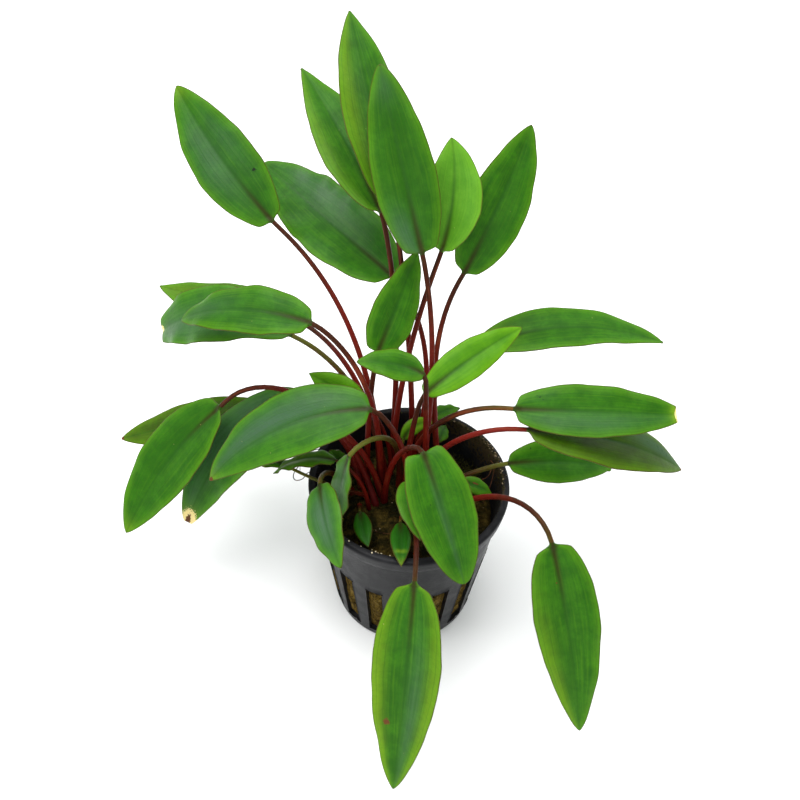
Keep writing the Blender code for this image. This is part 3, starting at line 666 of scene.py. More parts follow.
@dataclass(frozen=True)
class BladeFinish:
    """Living leaf tissue: veined green with a yellower margin, a thin red-brown edge line and a painted
    bluish-grey reflection over its sheen patches.
    """

    name: str
    body: Colour
    deep: Colour
    margin: Colour
    under: Colour
    # the colour of the painted reflection, a bluish-grey sheen
    sheen: Colour = (0.040, 0.095, 0.045)
    rim: Colour = (0.05, 0.015, 0.005)
    rib: Colour = (0.012, 0.065, 0.004)
    rib_foot: Colour = (0.022, 0.020, 0.002)
    yellow: Colour = (0.24, 0.36, 0.012)
    brown: Colour = (0.10, 0.035, 0.010)
    straw: Colour = (0.78, 0.62, 0.27)
    black: Colour = (0.008, 0.015, 0.006)
    gloss: float = 0.4

    def build(self, effects: Effects) -> bpy.types.Material:
        """Make the material.

        Args:
            effects: the shared effects.

        Returns:
            The blade's material.
        """
        finish, graph, shader = new_material(self.name)
        blade = graph.field("leaf_blade").outputs["Vector"]
        grain = graph.field("leaf_grain").outputs["Vector"]
        edge = graph.field("leaf_edge").outputs["Fac"]
        sheen, yellow, dark = graph.split(graph.field("leaf_paint").outputs["Vector"])
        scars = graph.split(graph.field("leaf_scars").outputs["Vector"])
        across, along, upper = graph.split(blade)
        blotch = graph.effect(effects.mottle, {"Place": grain, "Scale": 0.22, "Spread": 0.16}).outputs[0]
        fine = graph.effect(effects.mottle, {"Place": grain, "Scale": 0.9, "Spread": 0.25}).outputs[0]
        veins = graph.effect(effects.veins, {"Blade": blade, "Grain": grain, "Count": 4.4}).outputs
        margin = graph.effect(effects.band, {"Distance": edge, "Width": 2.8, "Place": grain}).outputs[0]
        rim = graph.effect(effects.band, {"Distance": edge, "Width": 0.38, "Place": grain}).outputs[0]
        specks = graph.effect(effects.specks, {"Place": grain, "Scale": 0.6, "Share": 0.06,
                                               "Size": 0.09}).outputs[0]

        colour = graph.blend(graph.math("MULTIPLY", blotch, 0.75), self.body, self.deep)
        colour = graph.blend(graph.math("MULTIPLY", fine, 0.4), colour, self.deep)
        strands = graph.ramp(veins["Strands"], 0.45, 0.7)
        colour = graph.blend(graph.math("MULTIPLY", strands, 0.25), colour, self.margin)
        colour = graph.blend(graph.math("MULTIPLY", margin, 0.6), colour, self.margin)
        colour = graph.blend(graph.math("MULTIPLY", dark, 0.75), colour, self.deep)
        # painted reflection: a bluish-grey sheen blended into the base colour over the sheen patches; the
        # same mask also raises the coat
        sheen_mask = graph.math("MULTIPLY", sheen, graph.ramp(veins["Strands"], 0.2, 0.6, 0.7, 1.0))
        colour = graph.blend(sheen_mask, colour, self.sheen)
        colour = graph.blend(graph.math("MULTIPLY", yellow, 0.5), colour, self.yellow)
        colour = graph.blend(graph.math("MULTIPLY", veins["Net"], 0.1), colour, self.deep)
        colour = graph.blend(graph.math("MULTIPLY", veins["Veins"], 0.3), colour, self.deep)
        below = graph.math("SUBTRACT", 1.0, upper)
        colour = graph.blend(graph.math("MULTIPLY", below, 0.75), colour, self.under)
        rib = graph.blend(graph.ramp(along, 0.05, 0.4), self.rib_foot, self.rib)
        fading = graph.ramp(along, 0.1, 0.9, 0.85, 0.3)
        colour = graph.blend(graph.math("MULTIPLY", veins["Midrib"], fading), colour, rib)
        flare = graph.ramp(graph.math("ADD", along,
                                      graph.math("MULTIPLY", graph.math("ABSOLUTE", across), 0.12)),
                           0.0, 0.1, 0.75, 0.0)
        colour = graph.blend(flare, colour, self.rib_foot)
        colour = graph.blend(graph.math("MULTIPLY", rim, 0.75), colour, self.rim)
        colour = graph.blend(graph.math("MULTIPLY", specks, 0.4), colour, self.straw)
        for closeness, paint in zip(reversed(scars), (self.black, self.straw, self.brown)):
            mask = graph.effect(effects.scar, {"Closeness": closeness, "Place": grain}).outputs[0]
            colour = graph.blend(mask, colour, paint)
        graph.feed(shader.inputs["Base Color"], colour)

        rough = graph.math("ADD", self.gloss, graph.math("MULTIPLY", fine, 0.1))
        rough = graph.math("SUBTRACT", rough, graph.math("MULTIPLY", sheen, 0.08))
        rough = graph.math("ADD", rough, graph.math("MULTIPLY", below, 0.12))
        graph.feed(shader.inputs["Roughness"], rough)
        relief = graph.math("MULTIPLY", veins["Net"], -0.12)
        relief = graph.math("SUBTRACT", relief, graph.math("MULTIPLY", veins["Veins"], 0.35))
        relief = graph.math("ADD", relief, graph.math("MULTIPLY", veins["Strands"], 0.5))
        relief = graph.math("ADD", relief, graph.math("MULTIPLY", fine, 0.4))
        graph.feed(shader.inputs["Normal"], graph.bump(relief, 0.00009, 0.5))
        graph.feed(shader.inputs["Coat Weight"], graph.math("MULTIPLY", sheen_mask, 0.35))
        shader.inputs["Coat Roughness"].default_value = 0.32
        shader.inputs["Specular IOR Level"].default_value = 0.1
        shader.inputs["Subsurface Weight"].default_value = 0.08
        shader.inputs["Subsurface Radius"].default_value = (0.5, 1.0, 0.15)
        shader.inputs["Subsurface Scale"].default_value = 0.0012
        return finish


@dataclass(frozen=True)
class StalkFinish:
    """A leaf stalk: brick red near the wool, turning brown and olive towards the blade."""

    name: str = "stalk"
    foot: Colour = (0.060, 0.003, 0.003)
    middle: Colour = (0.15, 0.009, 0.004)
    neck: Colour = (0.036, 0.011, 0.003)
    olive: Colour = (0.09, 0.11, 0.012)
    streak: Colour = (0.22, 0.045, 0.015)
    gloss: float = 0.36

    def build(self, effects: Effects) -> bpy.types.Material:
        """Make the material.

        Args:
            effects: the shared effects.

        Returns:
            The stalk's material.
        """
        finish, graph, shader = new_material(self.name)
        grain = graph.field("leaf_grain").outputs["Vector"]
        share = graph.field("stalk_share").outputs["Fac"]
        x, y, seed = graph.split(grain)
        place = graph.join(x, seed, y)
        streaks = graph.effect(effects.streaks, {"Place": place, "Scale": 2.2}).outputs
        mottle = graph.effect(effects.mottle, {"Place": grain, "Scale": 0.6, "Spread": 0.2}).outputs[0]
        share = graph.math("ADD", share, graph.math("MULTIPLY", graph.math("SUBTRACT", mottle, 0.5), 0.1))
        colour = graph.blend(graph.ramp(share, 0.02, 0.25), self.foot, self.middle)
        colour = graph.blend(graph.ramp(share, 0.5, 0.92), colour, self.neck)
        colour = graph.blend(graph.ramp(share, 0.9, 1.6), colour, self.olive)
        colour = graph.blend(graph.math("MULTIPLY", streaks["Streaks"], 0.4), colour, self.foot)
        colour = graph.blend(graph.math("MULTIPLY", streaks["Rare"], 0.4), colour, self.streak)
        graph.feed(shader.inputs["Base Color"], colour)
        graph.feed(shader.inputs["Roughness"],
                   graph.ramp(mottle, 0.0, 1.0, self.gloss - 0.05, self.gloss + 0.12))
        relief = graph.math("ADD", streaks["Streaks"], graph.math("MULTIPLY", mottle, 0.4))
        graph.feed(shader.inputs["Normal"], graph.bump(relief, 0.00012, 0.6))
        shader.inputs["Specular IOR Level"].default_value = 0.09
        shader.inputs["Subsurface Weight"].default_value = 0.08
        shader.inputs["Subsurface Radius"].default_value = (1.0, 0.3, 0.15)
        shader.inputs["Subsurface Scale"].default_value = 0.0008
        return finish


@dataclass(frozen=True)
class PotFinish:
    """Black moulded plastic with a satin skin, faint scuffs, dried drops and dirt near the soil."""

    name: str = "pot_black"
    body: Colour = (0.008, 0.008, 0.009)
    worn: Colour = (0.022, 0.022, 0.024)
    dirt: Colour = (0.05, 0.035, 0.014)
    gloss: float = 0.34

    def build(self, effects: Effects) -> bpy.types.Material:
        """Make the material.

        Args:
            effects: the shared effects.

        Returns:
            The pot's material.
        """
        finish, graph, shader = new_material(self.name)
        place = graph.stretch(graph.add("ShaderNodeTexCoord").outputs["Object"], (1000.0, 1000.0, 1000.0))
        soil = graph.field("pot_soil").outputs["Fac"]
        mottle = graph.effect(effects.mottle, {"Place": place, "Scale": 0.25, "Spread": 0.2}).outputs[0]
        fine = graph.effect(effects.mottle, {"Place": place, "Scale": 2.5, "Spread": 0.3}).outputs[0]
        specks = graph.effect(effects.specks, {"Place": place, "Scale": 0.55, "Share": 0.16,
                                               "Size": 0.13}).outputs[0]
        scuffs = graph.effect(effects.streaks, {"Place": place, "Scale": 1.1}).outputs["Rare"]
        crust = graph.effect(effects.mottle, {"Place": place, "Scale": 1.1, "Spread": 0.12}).outputs[0]
        colour = graph.blend(graph.math("MULTIPLY", mottle, 0.4), self.body, self.worn)
        colour = graph.blend(graph.math("MULTIPLY", scuffs, 0.35), colour, self.worn)
        grime = graph.ramp(graph.math("ADD", soil, graph.math("MULTIPLY", crust, 0.5)), 0.75, 1.1)
        colour = graph.blend(graph.math("MULTIPLY", grime, 0.8), colour, self.dirt)
        colour = graph.blend(graph.math("MULTIPLY", specks, 0.35), colour, self.dirt)
        graph.feed(shader.inputs["Base Color"], colour)
        rough = graph.ramp(mottle, 0.0, 1.0, self.gloss - 0.03, self.gloss + 0.1)
        graph.feed(shader.inputs["Roughness"], graph.math("ADD", rough, graph.math("MULTIPLY", grime, 0.3)))
        relief = graph.math("ADD", fine, graph.math("MULTIPLY", grime, 2.0))
        graph.feed(shader.inputs["Normal"], graph.bump(relief, 0.00006, 0.4))
        shader.inputs["Specular IOR Level"].default_value = 0.09
        return finish


@dataclass(frozen=True)
class FibreFinish:
    """Matted brown fibre, such as the wool plug, its loose strands, the moss or a root."""

    name: str
    pale: Colour
    body: Colour
    deep: Colour
    top: Colour = (0.007, 0.008, 0.002)
    scale: float = 1.6
    rough: float = 0.8

    def build(self, effects: Effects) -> bpy.types.Material:
        """Make the material; fibre_shade runs from deep to pale and fibre_top to the top's colour.

        Args:
            effects: the shared effects.

        Returns:
            The fibre's material.
        """
        finish, graph, shader = new_material(self.name)
        place = graph.stretch(graph.add("ShaderNodeTexCoord").outputs["Object"], (1000.0, 1000.0, 1000.0))
        shade = graph.field("fibre_shade").outputs["Fac"]
        top = graph.field("fibre_top").outputs["Fac"]
        streaks = graph.effect(effects.streaks, {"Place": place, "Scale": self.scale}).outputs
        cloud = graph.effect(effects.mottle, {"Place": place, "Scale": 0.3, "Spread": 0.15}).outputs[0]
        level = graph.math("ADD", shade, graph.math("MULTIPLY", graph.math("SUBTRACT", cloud, 0.5), 0.5))
        colour = graph.blend(graph.ramp(level, 0.0, 0.5), self.deep, self.body)
        colour = graph.blend(graph.ramp(level, 0.5, 1.0), colour, self.pale)
        colour = graph.blend(graph.math("MULTIPLY", streaks["Streaks"], 0.5), colour, self.deep)
        colour = graph.blend(graph.math("MULTIPLY", streaks["Rare"], 0.4), colour, self.pale)
        colour = graph.blend(graph.math("MULTIPLY", top, graph.ramp(cloud, 0.0, 1.0, 0.95, 0.6)),
                             colour, self.top)
        graph.feed(shader.inputs["Base Color"], colour)
        graph.feed(shader.inputs["Roughness"],
                   graph.ramp(streaks["Streaks"], 0.0, 1.0, self.rough - 0.15, self.rough))
        graph.feed(shader.inputs["Normal"], graph.bump(streaks["Streaks"], 0.0003, 0.8))
        shader.inputs["Specular IOR Level"].default_value = 0.06
        return finish


@dataclass(frozen=True)
class CrumbFinish:
    """Dry crumbs of substrate and husk, each with its own shade."""

    name: str = "crumbs"
    pale: Colour = (0.72, 0.62, 0.42)
    deep: Colour = (0.16, 0.09, 0.035)

    def build(self, effects: Effects) -> bpy.types.Material:
        """Make the material.

        Args:
            effects: the shared effects.

        Returns:
            The crumbs' material.
        """
        finish, graph, shader = new_material(self.name)
        place = graph.stretch(graph.add("ShaderNodeTexCoord").outputs["Object"], (1000.0, 1000.0, 1000.0))
        shade = graph.field("fibre_shade").outputs["Fac"]
        mottle = graph.effect(effects.mottle, {"Place": place, "Scale": 2.5, "Spread": 0.25}).outputs[0]
        colour = graph.blend(shade, self.deep, self.pale)
        colour = graph.blend(graph.math("MULTIPLY", mottle, 0.4), colour, self.deep)
        graph.feed(shader.inputs["Base Color"], colour)
        graph.feed(shader.inputs["Roughness"], graph.ramp(mottle, 0.0, 1.0, 0.5, 0.85))
        graph.feed(shader.inputs["Normal"], graph.bump(mottle, 0.0002, 0.6))
        return finish


BLADE_FINISHES = {
    Tone.GREEN: BladeFinish("leaf_green_blade", body=(0.028, 0.128, 0.003), deep=(0.012, 0.070, 0.002),
                            margin=(0.072, 0.205, 0.005), under=(0.055, 0.150, 0.014)),
    Tone.PALE: BladeFinish("leaf_pale_blade", body=(0.085, 0.25, 0.014), deep=(0.055, 0.19, 0.008),
                           margin=(0.125, 0.31, 0.016), under=(0.09, 0.25, 0.03)),
    Tone.BRIGHT: BladeFinish("leaf_bright_blade", body=(0.070, 0.220, 0.004), deep=(0.040, 0.155, 0.003),
                             margin=(0.12, 0.30, 0.006), under=(0.10, 0.23, 0.015)),
    Tone.BLUISH: BladeFinish("leaf_bluish_blade", body=(0.032, 0.135, 0.006), deep=(0.017, 0.080, 0.006),
                             margin=(0.070, 0.205, 0.008), under=(0.060, 0.160, 0.022), gloss=0.36),
    Tone.BRONZE: BladeFinish("leaf_bronze_blade", body=(0.040, 0.100, 0.003), deep=(0.026, 0.055, 0.002),
                             margin=(0.080, 0.160, 0.004), under=(0.065, 0.130, 0.012), gloss=0.32),
    Tone.DARK: BladeFinish("leaf_dark_blade", body=(0.010, 0.080, 0.003), deep=(0.006, 0.050, 0.002),
                           margin=(0.020, 0.115, 0.004), under=(0.018, 0.080, 0.008), gloss=0.36),
}


def make_piece(name: str, points: np.ndarray, faces: Faces, finishes: Sequence[bpy.types.Material],
               slots: Sequence[int] | None = None,
               fields: dict[str, np.ndarray] | None = None) -> bpy.types.Object:
    """Make a smooth-shaded mesh object in metres from points in millimetres.

    Args:
        name: the object's name.
        points: one row of three coordinates for each vertex.
        faces: the vertex numbers of each face.
        finishes: the materials, in slot order.
        slots: the material slot of each face, or None where all use the first.
        fields: values kept on the vertices by name, single numbers or triples.

    Returns:
        The new object.
    """
    mesh = bpy.data.meshes.new(name)
    mesh.from_pydata((np.asarray(points) * MM).tolist(), [], faces)
    for finish in finishes:
        mesh.materials.append(finish)
    if slots is not None:
        mesh.polygons.foreach_set("material_index", np.asarray(slots, np.int32))
    for title, values in (fields or {}).items():
        triple = values.ndim == 2
        layer = mesh.attributes.new(title, "FLOAT_VECTOR" if triple else "FLOAT", "POINT")
        layer.data.foreach_set("vector" if triple else "value", values.astype(np.float32).ravel())
    mesh.polygons.foreach_set("use_smooth", np.ones(len(mesh.polygons), bool))
    mesh.update()
    piece = bpy.data.objects.new(name, mesh)
    bpy.context.scene.collection.objects.link(piece)
    return piece


def ring_faces(rings: int, corners: int, first: int = 0) -> Faces:
    """Faces of a closed tube of rings, with a flat face at each end.

    Args:
        rings: how many rings there are.
        corners: how many corners each ring has.
        first: the number of the first ring's first vertex.

    Returns:
        The faces, wound so that they look out where a ring runs anticlockwise about its course.
    """
    faces: Faces = []
    for ring in range(rings - 1):
        low = first + ring * corners
        high = low + corners
        for corner in range(corners):
            after = (corner + 1) % corners
            faces.append((low + corner, low + after, high + after, high + corner))
    faces.append([first + corner for corner in reversed(range(corners))])
    last = first + (rings - 1) * corners
    faces.append([last + corner for corner in range(corners)])
    return faces


def unit(rows: np.ndarray) -> np.ndarray:
    """Rows scaled to length 1."""
    return rows / np.maximum(np.linalg.norm(rows, axis=-1, keepdims=True), 1e-12)


def smooth_step(values: np.ndarray, low: float, high: float) -> np.ndarray:
    """Values turned smoothly from 0 at low to 1 at high."""
    share = np.clip((values - low) / (high - low), 0.0, 1.0)
    return share * share * (3.0 - 2.0 * share)


def strands(paths: np.ndarray, girths: np.ndarray, corners: int) -> tuple[np.ndarray, Faces]:
    """Many thin closed tubes at once.

    Args:
        paths: the points of each path, all paths with the same number of them.
        girths: the radius at each point of each path.
        corners: how many corners a tube's section has.

    Returns:
        The points and the faces of all the tubes.
    """
    count, steps, _ = paths.shape
    course = np.gradient(paths, axis=1)
    course = unit(course)
    helper = np.where(np.abs(course[:, :1, 2:]) > 0.8, np.array([1.0, 0.0, 0.0]), np.array([0.0, 0.0, 1.0]))
    side = unit(np.cross(helper, course))
    other = np.cross(course, side)
    angles = np.arange(corners) * (2 * math.pi / corners)
    wheel = (side[:, :, None, :] * np.cos(angles)[None, None, :, None]
             + other[:, :, None, :] * np.sin(angles)[None, None, :, None])
    points = paths[:, :, None, :] + wheel * girths[:, :, None, None]
    pattern = ring_faces(steps, corners)
    faces = [[number + strand * steps * corners for number in face]
             for strand in range(count) for face in pattern]
    return points.reshape(-1, 3), faces


def cloud(place: Sequence[float], scale: float, seed: float = 0.0) -> float:
    """Smooth noise from about -1 to 1 at a place in millimetres, with the size of its lumps as scale."""
    return noise.noise(Vector((place[0] / scale + seed, place[1] / scale, place[2] / scale)))


def attach(piece: bpy.types.Object, slot: str, *nodes: str) -> bpy.types.Object:
    """Let a piece ride on the one body and stand for the nodes it replaces.

    Args:
        piece: the dressed piece.
        slot: the record's material slot; not used.
        nodes: the solids that it replaces.

    Returns:
        The same piece.
    """
    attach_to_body(piece, BODY)
    if nodes:
        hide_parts(*nodes)
    return piece


class Rosette:
    """Every leaf of the plant, each one grown piece of stalk and blade."""

    def __init__(self, effects: Effects) -> None:
        """Make the finishes that the leaves share."""
        self.blades = {tone: finish.build(effects) for tone, finish in BLADE_FINISHES.items()}
        self.stalk = StalkFinish().build(effects)

    def build(self) -> list[bpy.types.Object]:
        """Build and attach every leaf.

        Returns:
            The leaves, in the table's order.
        """
        pieces = []
        for number, leaf in enumerate(LEAVES):
            shape = LeafShape(leaf, LOOKS[leaf.name], float(number))
            piece = shape.build((self.blades[leaf.tone], self.stalk))
            pieces.append(attach(piece, leaf.tone.value, leaf.name))
        return pieces


@dataclass
class LeafShape:
    """The finely modelled skin of one leaf."""

    leaf: Leaf
    look: Look
    seed: float
    step: float = 0.25
    easing: float = 1.6
    buried: float = 2.5
    sheath: float = 5.0
    rib_share: float = 0.9
    thickness: float = 0.42
    columns: tuple[float, ...] = (0.0, 0.05, 0.12, 0.22, 0.33, 0.45, 0.57, 0.68, 0.78, 0.86, 0.93, 0.975, 1.0)

    def course(self) -> tuple[np.ndarray, ...]:
        """The leaf's midline from the buried foot of its stalk to the blade's tip.

        Returns:
            The distances from the neck in millimetres, the points, and the unit vectors along,
            to the right and up at each.
        """
        stalk, blade = self.leaf.stalk, self.leaf.blade
        lower = -math.ceil(stalk.length / self.step) * self.step
        reach = np.arange(lower - self.buried, blade.length + self.step, self.step)
        share = np.clip(1.0 + reach / stalk.length, 0.0, 1.0)
        ahead = np.clip(reach / blade.length, 0.0, 1.0)
        on_stalk = reach < 0
        rise = np.where(on_stalk, stalk.rise + (stalk.neck - stalk.rise) * share ** stalk.bend,
                        blade.start + (blade.tip - blade.start) * ahead)
        heading = stalk.heading + stalk.turn * share + blade.sweep * ahead
        roll = blade.roll * share + blade.twist * ahead
        spread = np.arange(-3, 3.01, self.step / self.easing)
        weights = np.exp(-0.5 * spread ** 2)
        weights /= weights.sum()
        pad = len(weights) // 2
        rise = np.convolve(np.pad(rise, pad, mode="edge"), weights, mode="valid")[: len(reach)]
        rise, heading, roll = np.radians(rise), np.radians(heading), np.radians(roll)
        along = np.stack((np.sin(heading) * np.cos(rise), np.cos(heading) * np.cos(rise), np.sin(rise)), 1)
        level = np.stack((np.cos(heading), -np.sin(heading), np.zeros_like(heading)), 1)
        upper = np.cross(level, along)
        right = level * np.cos(roll)[:, None] + upper * np.sin(roll)[:, None]
        up = np.cross(right, along)
        points = np.cumsum(along * self.step, axis=0)
        foot = np.searchsorted(reach, lower)
        root = np.array((*self.leaf.root, LEAF_BASE_HEIGHT))
        return reach, points - points[foot] + root, along, right, up

    def half_width(self, share: np.ndarray) -> np.ndarray:
        """Half the blade's width at shares of its length, with the lost tip cut off."""
        blade = self.leaf.blade
        power = math.log(0.5) / math.log(blade.belly)
        kept = share * (1.0 - self.look.cut)
        swell = np.clip(np.sin(math.pi * kept ** power), 0.0, 1.0)
        left = (1.0 - kept) * blade.length
        bend = self.look.round * min(1.0, blade.width / 12.0)
        cap = np.sqrt(np.clip(left * (2 * bend - left), 0.0, None))
        return np.maximum(blade.width / 2 * swell ** blade.fullness, cap)

    def sections(self) -> tuple[np.ndarray, ...]:
        """Where the rings stand along the leaf.

        Returns:
            The distance of each ring from the neck, and its share along the stalk and the blade.
        """
        stalk, blade = self.leaf.stalk, self.leaf.blade
        stalk_rings = max(int(stalk.length / 2.2), 6)
        blade_rings = max(int(blade.length * 1.45), 22)
        lower = np.linspace(-stalk.length - self.buried, 0.0, stalk_rings, endpoint=False)
        even = np.linspace(0.0, 1.0, blade_rings)
        eased = (1.0 - np.cos(math.pi * even)) / 2
        reach = np.concatenate((lower, (0.4 * even + 0.6 * eased) * blade.length))
        return reach, np.clip(1.0 + reach / stalk.length, 0.0, 1.0), np.clip(reach / blade.length, 0.0, 1.0)

    def build(self, finishes: Sequence[bpy.types.Material]) -> bpy.types.Object:
        """Build the leaf's closed skin.

        Args:
            finishes: the blade's and the stalk's material.

        Returns:
            The leaf.
        """
        stalk, blade, look = self.leaf.stalk, self.leaf.blade, self.look
        reach, on_stalk, share = self.sections()
        line = self.course()
        middle, along, right, up = (
            np.stack([np.interp(reach, line[0], part[:, axis]) for axis in range(3)], 1) for part in line[1:]
        )
        positive = np.array(self.columns)
        across = np.concatenate((-positive[:0:-1], positive))
        count = len(across)
        t = share[:, None]
        u = across[None, :]
        size = np.abs(u)

        radius = stalk.thickness / 2 * (1.0 + (NECK_SHARE - 1.0) * on_stalk)
        foot = np.clip((-stalk.length + self.sheath - reach) / self.sheath, 0.0, 1.0)
        radius = (radius * (1.0 + 0.3 * foot))[:, None]
        half = self.half_width(share)[:, None]
        ripple = (1.0 + 0.007 * np.sin(t * 29.0 + self.seed) * np.sign(u)
                  + 0.004 * np.sin(t * 53.0 + 2.0 * self.seed))
        half = half * ripple
        half = np.maximum(half, 0.12)
        full = half / (blade.width / 2)

        fold = math.radians(BLADE_FOLD)
        side = u * half * math.cos(fold)
        height = half * math.sin(fold) * (np.sqrt(size ** 2 + 0.01) - 0.1)
        height = height - look.curl * full * size ** 3.5
        phase = np.where(u < 0, 0.9 + self.seed, 2.6 + 1.7 * self.seed)
        swing = (np.sin(2 * math.pi * look.waves * t + phase)
                 + 0.35 * np.sin(5.3 * math.pi * look.waves * t / 2 + phase))
        height = height + look.wave * np.sin(math.pi * t) ** 0.6 * size ** 2.2 * swing
        height = height - 0.2 * np.exp(-((side / 0.9) ** 2)) * (1.0 - 0.8 * t)
        height = height + 0.035 * np.abs(np.sin(math.pi * size * 4.4)) * np.sqrt(1.0 - 0.98 * size) * full
        sheet = self.thickness * (1.0 - 0.6 * size) * (0.55 + 0.45 * full)
        rib = (radius * self.rib_share * (1.0 - 0.85 * t))
        belly = rib * 1.25 * np.exp(-((side / (rib * 0.9 + 0.1)) ** 2))

        turn = np.radians(90.0 - 82.0 * u)
        mix = smooth_step(t, 0.0, 0.055)
        top_x = (1.0 - mix) * radius * np.cos(turn) + mix * side
        top_z = (1.0 - mix) * radius * np.sin(turn) + mix * (height + sheet / 2)
        low_x = top_x
        low_z = -(1.0 - mix) * radius * np.sin(turn) + mix * (height - sheet / 2 - belly)
        back = look.lobes * size ** 1.6 * np.exp(-((t - 0.02) / 0.09) ** 2) * mix

        def place(x: np.ndarray, z: np.ndarray) -> np.ndarray:
            """Points for offsets to the right and up."""
            return (middle[:, None, :] + right[:, None, :] * x[:, :, None] + up[:, None, :] * z[:, :, None]
                    - along[:, None, :] * back[:, :, None])

        rings = np.concatenate((place(top_x, top_z), place(low_x, low_z)[:, ::-1]), axis=1)
        rings = rings[:, ::-1]
        columns = 2 * count
        faces = ring_faces(len(reach), columns)
        points = rings.reshape(-1, 3)

        def both(values: np.ndarray, below: np.ndarray | None = None) -> np.ndarray:
            """Values of the upper side and the lower one, in the order of the rings' corners."""
            whole = np.broadcast_to(values, top_x.shape)
            lower = whole if below is None else np.broadcast_to(below, top_x.shape)
            return np.concatenate((whole, lower[:, ::-1]), axis=1)[:, ::-1].ravel()

        girth = np.where(mix > 0.5, top_x, radius * np.radians(82.0) * u)
        edge = np.minimum((1.0 - size) * half, (blade.length - reach)[:, None] * 0.55 + 0.05)
        # paint holds the sheen patches of painted reflection, and the yellow and dark tints of the leaf's own
        # colour
        paint = [np.zeros_like(top_x) for _ in Tint]
        for patch in look.patches:
            spot = np.exp(-((t - patch.along) / patch.long) ** 2 - ((u - patch.across) / patch.wide) ** 2)
            paint[patch.tint.value] = np.maximum(paint[patch.tint.value], patch.strength * spot * (t > 0))
        scars = [np.full_like(top_x, -2.0) for _ in Scar]
        for mark in look.marks:
            slant = math.radians(mark.slant)
            dy = (t - mark.along) * blade.length
            dx = side - mark.across * half
            lengthwise = dy * math.cos(slant) + dx * math.sin(slant)
            crosswise = dx * math.cos(slant) - dy * math.sin(slant)
            closeness = 1.0 - np.hypot(lengthwise / mark.long, crosswise / mark.wide)
            scars[mark.scar.value] = np.maximum(scars[mark.scar.value], closeness)
        stripes = np.clip(on_stalk + 0.9 * look.olive, 0.0, 2.0)[:, None]
        fields = {
            "leaf_blade": np.stack((both(u), both(t), both(np.ones_like(top_x), np.zeros_like(top_x))), 1),
            "leaf_grain": np.stack((both(girth), both(reach[:, None]),
                                    both(np.full_like(top_x, self.seed * 17.0))), 1),
            "leaf_edge": both(np.where(t > 0.02, edge, 5.0)),
            "leaf_paint": np.stack([both(values) for values in paint], 1),
            "leaf_scars": np.stack([both(values) for values in scars], 1),
            "stalk_share": both(stripes),
        }
        stalk_rings = int((reach < 0).sum())
        slots = [1 if index < stalk_rings * columns else 0 for index in range(len(faces) - 2)] + [1, 0]
        return make_piece(self.leaf.name + "_grown", points, faces, finishes, slots, fields)


